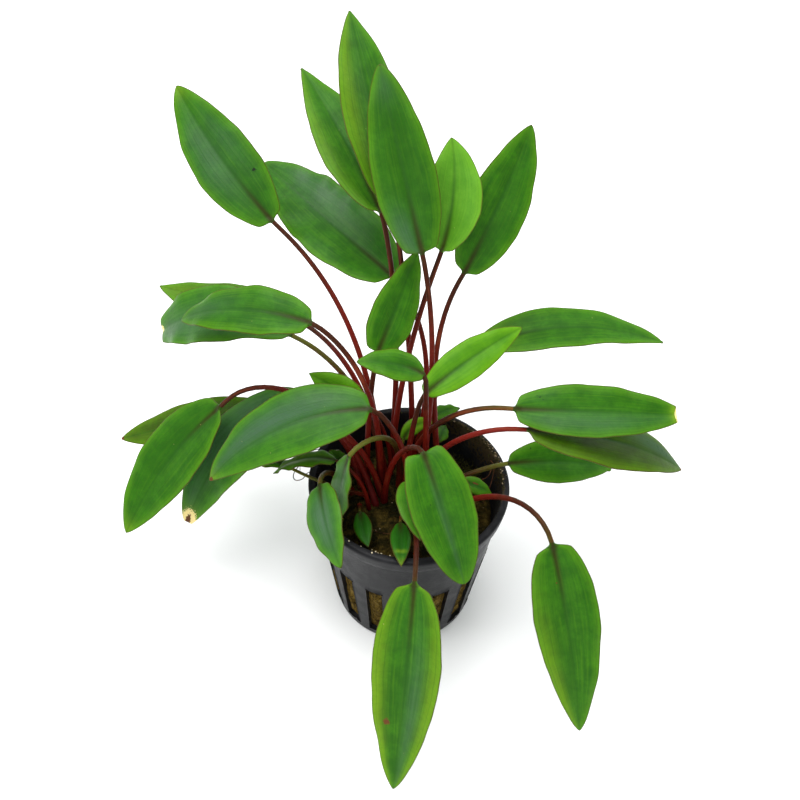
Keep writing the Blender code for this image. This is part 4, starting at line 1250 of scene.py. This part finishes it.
@dataclass
class NetPot:
    """The net pot's dressed moulding, with the sizes of its solid."""

    height: float = 48.5
    rim_radius: float = 27.0
    foot_radius: float = 20.0
    wall: float = 1.2
    floor: float = 1.5
    lip_height: float = 4.5
    lip_step: float = 0.9
    slots: int = 16
    slot_width: float = 4.6
    slot_bottom: float = 3.0
    slot_top: float = 27.0
    first_slot: float = 2.0
    across_slot: int = 6
    across_rib: int = 6
    edge_round: float = 0.22

    def wall_radius(self, height: float) -> float:
        """Outer radius of the tapered wall at a height."""
        return self.foot_radius + (self.rim_radius - self.lip_step - self.foot_radius) * height / self.height

    def angles(self, radius: float) -> np.ndarray:
        """Angles of the wall's columns at a radius, so that each slot's sides stay parallel."""
        pitch = 2 * math.pi / self.slots
        reach = math.asin(self.slot_width / 2 / radius)
        in_slot = np.arcsin(np.linspace(-1, 1, self.across_slot + 1) * self.slot_width / 2 / radius)[:-1]
        in_rib = np.linspace(reach, pitch - reach, self.across_rib + 1)[:-1]
        single = np.concatenate((in_slot, in_rib))
        starts = math.radians(self.first_slot) + np.arange(self.slots) * pitch
        return (starts[:, None] + single[None, :]).ravel()

    def outer_line(self) -> list[tuple[float, float]]:
        """The outer half section from the foot's edge to the rim's crest."""
        under = self.height - self.lip_height
        line = [(self.foot_radius - 1.2, 0.0), (self.foot_radius - 0.45, 0.0), (self.foot_radius - 0.1, 0.18),
                (self.foot_radius + 0.12, 0.6), (self.wall_radius(1.6), 1.6)]
        line += [(self.wall_radius(height), height) for height in self.slot_rows()]
        line += [(self.wall_radius(height), height) for height in (29.5, 33.0, 36.5, 40.0, 42.8)]
        line += [(self.wall_radius(43.5) + 0.05, 43.5), (self.wall_radius(43.8) + 0.45, 43.75),
                 (self.wall_radius(under) + 0.72, 43.95), (self.wall_radius(under) + self.lip_step, 44.25)]
        line += [(self.rim_radius - 0.32, 45.6), (self.rim_radius - 0.12, 46.9),
                 (self.rim_radius - 0.02, 47.6), (self.rim_radius - 0.04, 48.0),
                 (self.rim_radius - 0.2, 48.32), (self.rim_radius - 0.5, 48.5)]
        return line

    def inner_line(self) -> list[tuple[float, float]]:
        """The inner half section from the rim's crest down to the floor's edge."""
        crest = self.wall_radius(self.height) - self.wall
        line = [(crest + 0.55, 48.5), (crest + 0.2, 48.36), (crest + 0.02, 48.0)]
        line += [(self.wall_radius(height) - self.wall, height) for height in (46.5, 42.0, 37.0, 32.0)]
        line += [(self.wall_radius(height) - self.wall, height) for height in reversed(self.slot_rows())]
        line += [(self.wall_radius(2.0) - self.wall, 2.0),
                 (self.wall_radius(1.6) - self.wall - 0.5, self.floor)]
        return line

    def slot_rows(self) -> list[float]:
        """Heights of the wall's rows from the slots' lower to their upper end."""
        return [float(height) for height in np.linspace(self.slot_bottom, self.slot_top, 9)]

    def build(self, finish: bpy.types.Material) -> bpy.types.Object:
        """Build the moulding with its slots, rounded edges and lip.

        Args:
            finish: the pot's material.

        Returns:
            The pot.
        """
        outer, inner = self.outer_line(), self.inner_line()
        line = outer + inner
        columns = self.slots * (self.across_slot + self.across_rib)
        points = []
        for radius, height in line:
            for angle in self.angles(max(radius, self.foot_radius - 3.0)):
                wobble = 0.12 * math.sin(2 * angle + 0.7) * (height / self.height) ** 2
                points.append(((radius + wobble) * math.sin(angle),
                               -(radius + wobble) * math.cos(angle), height))
        rows = len(line)
        slot_z = self.slot_rows()
        low_row = outer.index((self.wall_radius(slot_z[0]), slot_z[0]))
        high_row = low_row + len(slot_z) - 1
        inner_high = len(outer) + inner.index((self.wall_radius(slot_z[-1]) - self.wall, slot_z[-1]))
        inner_low = inner_high + len(slot_z) - 1
        pitch = self.across_slot + self.across_rib
        faces: Faces = []

        def corner(row: int, column: int) -> int:
            """The number of the vertex in a row and column."""
            return row * columns + column % columns

        for row in range(rows - 1):
            cut = low_row <= row < high_row or inner_high <= row < inner_low
            for column in range(columns):
                if cut and column % pitch < self.across_slot:
                    continue
                faces.append((corner(row, column), corner(row, column + 1),
                              corner(row + 1, column + 1), corner(row + 1, column)))
        for slot in range(self.slots):
            left = slot * pitch
            right = left + self.across_slot
            for step in range(len(slot_z) - 1):
                out_row, in_row = low_row + step, inner_low - step
                faces.append((corner(out_row, left), corner(out_row + 1, left),
                              corner(in_row - 1, left), corner(in_row, left)))
                faces.append((corner(out_row, right), corner(in_row, right),
                              corner(in_row - 1, right), corner(out_row + 1, right)))
            for column in range(left, right):
                faces.append((corner(low_row, column), corner(inner_low, column),
                              corner(inner_low, column + 1), corner(low_row, column + 1)))
                faces.append((corner(high_row, column), corner(high_row, column + 1),
                              corner(inner_high, column + 1), corner(inner_high, column)))
        under, over = len(points), len(points) + 1
        points += [(0.0, 0.0, 0.0), (0.0, 0.0, self.floor)]
        for column in range(columns):
            faces.append((corner(0, column + 1), corner(0, column), under))
            faces.append((corner(rows - 1, column), corner(rows - 1, column + 1), over))
        placed = np.array(points)
        bearing = np.arctan2(placed[:, 0], placed[:, 1])
        back_right = np.exp(-((bearing - 0.95) / 0.75) ** 2)
        inside = np.hypot(placed[:, 0], placed[:, 1]) < self.rim_radius - 0.9
        soil = smooth_step(placed[:, 2], 36.0, 48.0) * (0.25 + 0.75 * back_right) * (0.35 + 0.65 * inside)
        pot = make_piece("net_pot_moulded", placed, faces, [finish], fields={"pot_soil": soil})
        self.soften(pot)
        return pot

    def soften(self, pot: bpy.types.Object) -> None:
        """Round the sharp edges of the slots."""
        shape = bmesh.new()
        shape.from_mesh(pot.data)
        sharp = [edge for edge in shape.edges
                 if edge.is_manifold and edge.calc_face_angle() > SHARP_ANGLE
                 and self.slot_bottom - 0.1
                 < (edge.verts[0].co.z + edge.verts[1].co.z) / 2 / MM < self.slot_top + 0.1]
        bmesh.ops.bevel(shape, geom=sharp, offset=self.edge_round * MM, segments=2,
                        affect="EDGES", profile=0.5)
        shape.to_mesh(pot.data)
        shape.free()
        pot.data.polygons.foreach_set("use_smooth", np.ones(len(pot.data.polygons), bool))


@dataclass
class MineralWool:
    """The plug of matted fibre: its lumpy body and the loose strands on its sides and top."""

    pot: NetPot
    bottom: float = 1.8
    top: float = WOOL_TOP
    top_radius: float = 16.5
    edge_radius: float = 21.3
    edge_height: float = 37.5
    gap: float = 0.3
    bulge: float = 1.15
    side_strands: int = 2600
    top_strands: int = 1500

    def slot_share(self, angle: float) -> float:
        """1 in the middle of a slot, falling to 0 at its sides and between the slots."""
        pitch = 2 * math.pi / self.pot.slots
        off = (angle - math.radians(self.pot.first_slot) + pitch / 2) % pitch - pitch / 2
        return float(np.clip(1.0 - (off / 0.118) ** 2, 0.0, 1.0))

    def side_radius(self, angle: float, height: float) -> float:
        """Radius of the wool's side, which swells into the slots."""
        inner = self.pot.wall_radius(height) - self.pot.wall - self.gap
        rise = (height - self.pot.slot_bottom) / (self.pot.slot_top - self.pot.slot_bottom)
        window = float(np.clip(4.0 * rise * (1.0 - rise) * 1.6, 0.0, 1.0)) if 0 < rise < 1 else 0.0
        lump = cloud((angle * 22, height, 3.0), 5.0) * 0.35 + cloud((angle * 22, height, 9.0), 1.6) * 0.18
        return inner + (self.bulge + lump) * self.slot_share(angle) * window

    def top_height(self, x: float, y: float) -> float:
        """Height of the lumpy top at a place."""
        reach = math.hypot(x, y)
        fall = float(smooth_step(np.array(reach), self.top_radius - 3.0, self.edge_radius + 0.5))
        lump = (cloud((x, y, 0.0), 6.0) * 0.75 + cloud((x, y, 5.0), 2.2) * 0.38
                + cloud((x, y, 8.0), 0.9) * 0.16)
        return self.top - 0.35 - fall * (self.top - self.edge_height) + lump * (1.0 + 0.6 * fall)

    def body(self, finish: bpy.types.Material) -> bpy.types.Object:
        """The lumpy body.

        Args:
            finish: the wool's material.

        Returns:
            The body.
        """
        columns = 240
        turns = np.arange(columns) * 2 * math.pi / columns
        points, tops = [], []
        heights = np.concatenate(([self.bottom], np.linspace(2.4, 36.5, 58)))
        for height in heights:
            for angle in turns:
                radius = self.side_radius(angle, height)
                points.append((radius * math.sin(angle), -radius * math.cos(angle), height))
                tops.append(float(smooth_step(np.array(height), 27.0, 34.0)))
        for radius in np.linspace(self.edge_radius + 0.35, 0.35, 46):
            for angle in turns:
                x, y = radius * math.sin(angle), -radius * math.cos(angle)
                points.append((x, y, self.top_height(x, y)))
                tops.append(1.0)
        rings = len(heights) + 46
        faces = ring_faces(rings, columns)
        shade = np.array([0.5 + 0.35 * cloud(point, 7.0, 4.0) for point in points])
        return make_piece("mineral_wool_plug", np.array(points), faces, [finish],
                          fields={"fibre_shade": shade, "fibre_top": np.array(tops)})

    def loose_strands(self, draw: np.random.Generator, finish: bpy.types.Material) -> bpy.types.Object:
        """Short strands matted over the wool in the slots.

        Args:
            draw: the source of chance.
            finish: the strands' material.

        Returns:
            The strands as one piece.
        """
        count, steps = self.side_strands, 7
        slot = draw.integers(0, self.pot.slots, count)
        angle = (math.radians(self.pot.first_slot) + slot * 2 * math.pi / self.pot.slots
                 + draw.uniform(-0.085, 0.085, count))
        height = draw.uniform(self.pot.slot_bottom + 1.0, self.pot.slot_top - 0.8, count)
        lean = draw.normal(0.0, 0.75, count) + math.pi / 2
        curve = draw.normal(0.0, 0.25, count)
        length = draw.uniform(1.2, 4.2, count)
        lift = draw.uniform(-0.02, 0.28, count)
        paths = np.zeros((count, steps, 3))
        for index in range(count):
            a, z, way = angle[index], height[index], lean[index]
            for step in range(steps):
                radius = self.side_radius(a, z) + lift[index] * math.sin(math.pi * step / (steps - 1)) + 0.02
                paths[index, step] = (radius * math.sin(a), -radius * math.cos(a), z)
                hop = length[index] / (steps - 1)
                a += hop * math.cos(way) / radius
                z = min(max(z + hop * math.sin(way), self.pot.slot_bottom + 0.3), self.pot.slot_top - 0.3)
                way += curve[index]
        girths = (draw.uniform(0.04, 0.085, count)[:, None]
                  * np.array([0.5, 0.9, 1.0, 1.0, 1.0, 0.9, 0.5])[None, :])
        points, faces = strands(paths, girths, 3)
        shade = np.repeat(draw.uniform(0.1, 1.1, count), steps * 3)
        return make_piece("mineral_wool_side_strands", points, faces, [finish],
                          fields={"fibre_shade": shade, "fibre_top": np.zeros(len(points))})

    def matted_top(self, draw: np.random.Generator, finish: bpy.types.Material) -> bpy.types.Object:
        """Short dark strands and moss lying on the wool's top.

        Args:
            draw: the source of chance.
            finish: the strands' material.

        Returns:
            The strands as one piece.
        """
        count, steps = self.top_strands, 6
        reach = self.edge_radius * np.sqrt(draw.uniform(0.0, 1.0, count))
        bearing = draw.uniform(0, 2 * math.pi, count)
        way = draw.uniform(0, 2 * math.pi, count)
        curve = draw.normal(0.0, 0.35, count)
        length = draw.uniform(1.0, 3.6, count)
        lift = draw.uniform(0.0, 0.55, count)
        paths = np.zeros((count, steps, 3))
        for index in range(count):
            x, y = reach[index] * math.sin(bearing[index]), reach[index] * math.cos(bearing[index])
            course = way[index]
            for step in range(steps):
                far = math.hypot(x, y)
                if far > self.edge_radius:
                    x, y = x * self.edge_radius / far, y * self.edge_radius / far
                paths[index, step] = (x, y, self.top_height(x, y) + 0.03
                                      + lift[index] * math.sin(math.pi * step / 5))
                x += length[index] / (steps - 1) * math.cos(course)
                y += length[index] / (steps - 1) * math.sin(course)
                course += curve[index]
        girths = draw.uniform(0.04, 0.1, count)[:, None] * np.array([0.5, 1.0, 1.0, 1.0, 0.9, 0.5])[None, :]
        points, faces = strands(paths, girths, 3)
        shade = np.repeat(draw.beta(1.2, 2.2, count), steps * 3)
        return make_piece("mineral_wool_top_strands", points, faces, [finish],
                          fields={"fibre_shade": shade, "fibre_top": np.full(len(points), 0.7)})


@dataclass
class Litter:
    """What lies and grows on the wool and the rim: moss, fine roots and crumbs."""

    wool: MineralWool
    pot: NetPot

    def on_top(self, x: float, y: float, lift: float = 0.0) -> tuple[float, float, float]:
        """A point on the wool's top."""
        return x, y, self.wool.top_height(x, y) + lift

    def moss(self, draw: np.random.Generator, finish: bpy.types.Material) -> bpy.types.Object:
        """Curly moss in a clump on the right and a thin crust on the back right of the rim.

        Args:
            draw: the source of chance.
            finish: the moss's material.

        Returns:
            The moss as one piece.
        """
        count, steps = 1100, 7
        starts = np.zeros((count, 3))
        for index in range(count):
            if index < 700:
                middle = ((15.5, 11.0), (18.5, 7.5), (12.5, 13.5), (-15.0, 6.0))[index % 4]
                x, y = draw.normal(middle[0], 2.0), draw.normal(middle[1], 2.2)
                far = math.hypot(x, y)
                if far > 22.0:
                    x, y = x * 22.0 / far, y * 22.0 / far
                starts[index] = self.on_top(x, y, draw.uniform(0.0, 2.6))
            else:
                bearing = draw.normal(0.95, 0.42)
                radius = 25.15 + draw.normal(0.0, 0.28)
                height = self.pot.height - 0.1 if radius > 25.0 else self.pot.height - draw.exponential(1.2)
                starts[index] = (radius * math.sin(bearing), radius * math.cos(bearing), height)
        way = draw.normal(0.0, 1.0, (count, 3))
        way[:, 2] = np.abs(way[:, 2]) * 0.5
        paths = np.zeros((count, steps, 3))
        paths[:, 0] = starts
        size = np.where(np.arange(count) < 700, draw.uniform(0.25, 0.6, count),
                        draw.uniform(0.08, 0.2, count))
        for step in range(1, steps):
            way = unit(way + draw.normal(0.0, 0.55, (count, 3)))
            paths[:, step] = paths[:, step - 1] + way * size[:, None]
        far = np.hypot(paths[..., 0], paths[..., 1])
        limit = np.where(np.arange(count) < 700, 23.3, 26.4)[:, None]
        paths[..., :2] *= (np.minimum(far, limit) / far)[..., None]
        paths[..., 2] = np.minimum(paths[..., 2], np.where(np.arange(count) < 700, 46.0, 49.0)[:, None])
        girths = draw.uniform(0.05, 0.12, count)[:, None] * np.linspace(1.0, 0.4, steps)[None, :]
        points, faces = strands(paths, girths, 4)
        shade = np.repeat(draw.uniform(0.0, 1.0, count), steps * 4)
        return make_piece("moss_strands", points, faces, [finish],
                          fields={"fibre_shade": shade, "fibre_top": np.zeros(len(points))})

    def root(self, name: str, knots: Sequence[Sequence[float]], girth: float, shade: float,
             finish: bpy.types.Material) -> bpy.types.Object:
        """One fine root along a smooth course through its knots.

        Args:
            name: the piece's name.
            knots: points of its course.
            girth: its radius.
            shade: how pale it is, from 0 to 1.
            finish: its material.

        Returns:
            The root.
        """
        path = spline(np.array(knots), 9)
        girths = girth * np.linspace(1.0, 0.55, len(path))
        points, faces = strands(path[None], girths[None], 8)
        return make_piece(name, points, faces, [finish],
                          fields={"fibre_shade": np.full(len(points), shade),
                                  "fibre_top": np.zeros(len(points))})

    def crumbs(self, draw: np.random.Generator, finish: bpy.types.Material) -> bpy.types.Object:
        """Small rough crumbs on the rim's inner edge and on the wool.

        Args:
            draw: the source of chance.
            finish: the crumbs' material.

        Returns:
            The crumbs as one piece.
        """
        spots = []
        for _ in range(9):
            bearing = math.radians(180) + draw.normal(0.33, 0.13)
            radius = draw.uniform(24.4, 25.7)
            lift = self.pot.height if radius > 24.95 else self.pot.height - draw.uniform(0.3, 1.6)
            spots.append((radius * math.sin(bearing), radius * math.cos(bearing), lift,
                          draw.uniform(0.14, 0.3), 0.9))
        for _ in range(16):
            bearing = draw.uniform(0, 2 * math.pi)
            radius = 21.0 * math.sqrt(draw.uniform())
            x, y = radius * math.sin(bearing), radius * math.cos(bearing)
            spots.append((*self.on_top(x, y, 0.1), draw.uniform(0.1, 0.26), draw.uniform(0.1, 0.7)))
        for _ in range(40):
            bearing = draw.normal(1.15, 0.3)
            radius = draw.uniform(24.9, 26.3)
            spots.append((radius * math.sin(bearing), radius * math.cos(bearing), self.pot.height + 0.02,
                          draw.uniform(0.1, 0.32), draw.uniform(0.05, 0.5)))
        shape = bmesh.new()
        shades: list[float] = []
        for x, y, z, size, shade in spots:
            made = bmesh.ops.create_icosphere(shape, subdivisions=2, radius=1.0)["verts"]
            squash = Vector(draw.uniform(0.45, 1.0, 3)) * size
            seed = draw.uniform(0, 50)
            turn = Matrix.Rotation(draw.uniform(0, math.pi), 3, Vector(draw.normal(0, 1, 3)).normalized())
            for vertex in made:
                bump = 1.0 + 0.35 * noise.noise(vertex.co * 1.6 + Vector((seed, 0, 0)))
                vertex.co = turn @ Vector(a * b * bump for a, b in zip(vertex.co, squash)) + Vector((x, y, z))
            shades += [shade] * len(made)
        shape.verts.index_update()
        points = np.array([vertex.co for vertex in shape.verts])
        faces = [[vertex.index for vertex in face.verts] for face in shape.faces]
        shape.free()
        return make_piece("crumbs", points, faces, [finish], fields={"fibre_shade": np.array(shades)})


def spline(knots: np.ndarray, between: int) -> np.ndarray:
    """A smooth course through knots.

    Args:
        knots: the points that it passes.
        between: how many steps lie from one knot to the next.

    Returns:
        The course's points.
    """
    padded = np.concatenate((2 * knots[:1] - knots[1:2], knots, 2 * knots[-1:] - knots[-2:-1]))
    shares = np.linspace(0, 1, between, endpoint=False)[:, None]
    parts = []
    for a, b, c, d in zip(padded, padded[1:], padded[2:], padded[3:]):
        parts.append(0.5 * (2 * b + (c - a) * shares + (2 * a - 5 * b + 4 * c - d) * shares ** 2
                            + (3 * b - a - 3 * c + d) * shares ** 3))
    return np.concatenate((*parts, knots[-1:]))


ROOTS = {
    "root_loop_left": (0.17, 0.0, (
        (-16.0, 6.5, 41.0), (-21.0, 7.0, 43.5), (-24.5, 6.6, 49.2), (-27.6, 5.6, 48.8),
        (-30.0, 3.6, 47.6), (-31.2, 1.6, 46.6), (-30.6, 0.0, 46.2), (-28.6, -0.2, 47.0),
        (-26.9, 0.9, 48.6), (-24.2, 1.6, 47.2), (-21.8, 1.2, 43.0))),
    "root_arc_left": (0.13, 0.05, (
        (-14.0, 9.5, 41.2), (-19.0, 10.2, 44.8), (-23.8, 9.0, 49.0), (-27.4, 7.2, 49.4),
        (-29.4, 4.4, 48.4), (-29.4, 1.4, 47.4))),
    "root_curl_right": (0.16, 0.75, (
        (15.0, 2.0, 41.0), (17.6, 3.4, 43.6), (19.6, 2.6, 44.8), (20.0, 0.6, 44.4),
        (18.6, -0.4, 43.6), (17.4, 0.6, 43.4), (17.8, 2.2, 44.2), (19.6, 3.4, 45.2),
        (21.6, 4.6, 45.6), (22.6, 6.6, 46.6))),
    "root_bow_right": (0.14, 0.6, (
        (20.5, -1.0, 40.6), (21.9, 1.6, 43.6), (22.8, 4.0, 46.6), (23.0, 6.4, 48.2),
        (22.2, 8.6, 47.6))),
    "root_stray_right": (0.11, 0.5, (
        (14.0, -2.5, 41.2), (17.4, -2.2, 42.8), (20.4, -0.8, 43.2), (22.0, 1.4, 43.8))),
    "root_stray_front": (0.1, 0.3, (
        (-9.0, -12.0, 41.0), (-5.0, -13.4, 42.0), (-1.0, -13.0, 41.6), (2.0, -14.4, 41.2))),
}


@dataclass
class Studio:
    """The pale floor, the soft light and the camera at the photograph's viewing angle."""

    eye: tuple[float, float, float] = (-3.3, -154.2, 234.3)
    pitch: float = 45.31
    roll: float = 2.35
    lens: float = 40.5

    def floor(self) -> bpy.types.Object:
        """The plain pale floor."""
        finish, graph, shader = new_material("studio_floor")
        place = graph.add("ShaderNodeTexCoord").outputs["Object"]
        shade = graph.noise(place, 3.0, detail=2.0)
        graph.feed(shader.inputs["Base Color"], graph.blend(shade, (0.93, 0.93, 0.93), (0.95, 0.95, 0.95)))
        shader.inputs["Roughness"].default_value = 0.9
        mesh = bpy.data.meshes.new("studio_floor")
        reach = 6.0
        mesh.from_pydata([(-reach, -reach, 0), (reach, -reach, 0), (reach, reach, 0), (-reach, reach, 0)],
                         [], [(0, 1, 2, 3)])
        mesh.materials.append(finish)
        ground = bpy.data.objects.new("studio_floor", mesh)
        bpy.context.scene.collection.objects.link(ground)
        return ground

    @staticmethod
    def light(name: str, place: Sequence[float], size: float, power: float,
              colour: Colour = (1.0, 1.0, 1.0)) -> None:
        """A square soft light that faces the plant.

        Args:
            name: the light's name.
            place: where it hangs, in metres.
            size: the length of its sides.
            power: its power in watts.
            colour: its colour.
        """
        lamp = bpy.data.lights.new(name, "AREA")
        lamp.size = size
        lamp.energy = power
        lamp.color = colour
        holder = bpy.data.objects.new(name, lamp)
        holder.location = place
        aim = Vector((0.0, 0.0, 0.05)) - Vector(place)
        holder.rotation_euler = aim.to_track_quat("-Z", "Y").to_euler()
        bpy.context.scene.collection.objects.link(holder)

    def camera(self) -> None:
        """The camera, turned to the photograph's pitch and roll."""
        tilt, lean = math.radians(self.pitch), math.radians(self.roll)
        ahead = Vector((0.0, math.cos(tilt), -math.sin(tilt)))
        level = Vector((1.0, 0.0, 0.0))
        rise = level.cross(ahead)
        right = level * math.cos(lean) + rise * math.sin(lean)
        top = -level * math.sin(lean) + rise * math.cos(lean)
        sight = bpy.data.cameras.new("camera")
        sight.lens = self.lens
        sight.sensor_width = 36.0
        sight.sensor_fit = "HORIZONTAL"
        sight.clip_start = 0.01
        holder = bpy.data.objects.new("camera", sight)
        turn = Matrix((right, top, -ahead)).transposed()
        holder.matrix_world = Matrix.LocRotScale(Vector(self.eye) * MM, turn.to_quaternion(), None)
        bpy.context.scene.collection.objects.link(holder)
        bpy.context.scene.camera = holder

    def build(self) -> None:
        """Set up the floor, the lights, the sky and the camera."""
        scene = bpy.context.scene
        scene.view_settings.view_transform = "Standard"
        self.floor()
        sky = bpy.data.worlds.new("studio_sky")
        sky.use_nodes = True
        ground = sky.node_tree.nodes["Background"]
        ground.inputs["Color"].default_value = (0.97, 0.985, 1.0, 1.0)
        ground.inputs["Strength"].default_value = 0.76
        scene.world = sky
        self.light("light_top", (-0.22, 0.05, 0.9), 0.75, 11.0)
        self.light("light_back_right", (0.6, 0.45, 0.6), 0.5, 2.0, (0.96, 0.98, 1.0))
        self.light("light_front", (-0.1, -0.75, 0.35), 0.6, 1.6)
        self.camera()


def main() -> None:
    """Build every sub-assembly in order and report each piece."""
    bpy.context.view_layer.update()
    effects = Effects()
    draw = np.random.default_rng(11)
    pot = NetPot()
    wool = MineralWool(pot)
    litter = Litter(wool, pot)
    pieces = [attach(pot.build(PotFinish().build(effects)), "pot_plastic", "net_pot")]
    wool_finish = FibreFinish("wool_matted", pale=(0.27, 0.18, 0.035), body=(0.12, 0.075, 0.012),
                              deep=(0.022, 0.013, 0.003)).build(effects)
    pieces.append(attach(wool.body(wool_finish), "wool", "mineral_wool"))
    pieces.append(attach(wool.loose_strands(draw, wool_finish), "wool"))
    pieces.append(attach(wool.matted_top(draw, wool_finish), "wool"))
    moss_finish = FibreFinish("moss", pale=(0.075, 0.075, 0.016), body=(0.032, 0.033, 0.007),
                              deep=(0.010, 0.009, 0.003),
                              scale=2.5).build(effects)
    pieces.append(attach(litter.moss(draw, moss_finish), "wool"))
    root_finish = FibreFinish("fine_root", pale=(0.30, 0.12, 0.05), body=(0.12, 0.045, 0.02),
                              deep=(0.012, 0.008, 0.006),
                              scale=2.0, rough=0.6).build(effects)
    for name, (girth, shade, knots) in ROOTS.items():
        pieces.append(attach(litter.root(name, knots, girth, shade, root_finish), "wool"))
    pieces.append(attach(litter.crumbs(draw, CrumbFinish().build(effects)), "wool"))
    pieces += Rosette(effects).build()
    for piece in pieces:
        LOG.info("%s: %d faces", piece.name, len(piece.data.polygons))
    Studio().build()


if __name__ == "__main__":
    logging.basicConfig(level=logging.INFO, format="%(message)s")
    main()
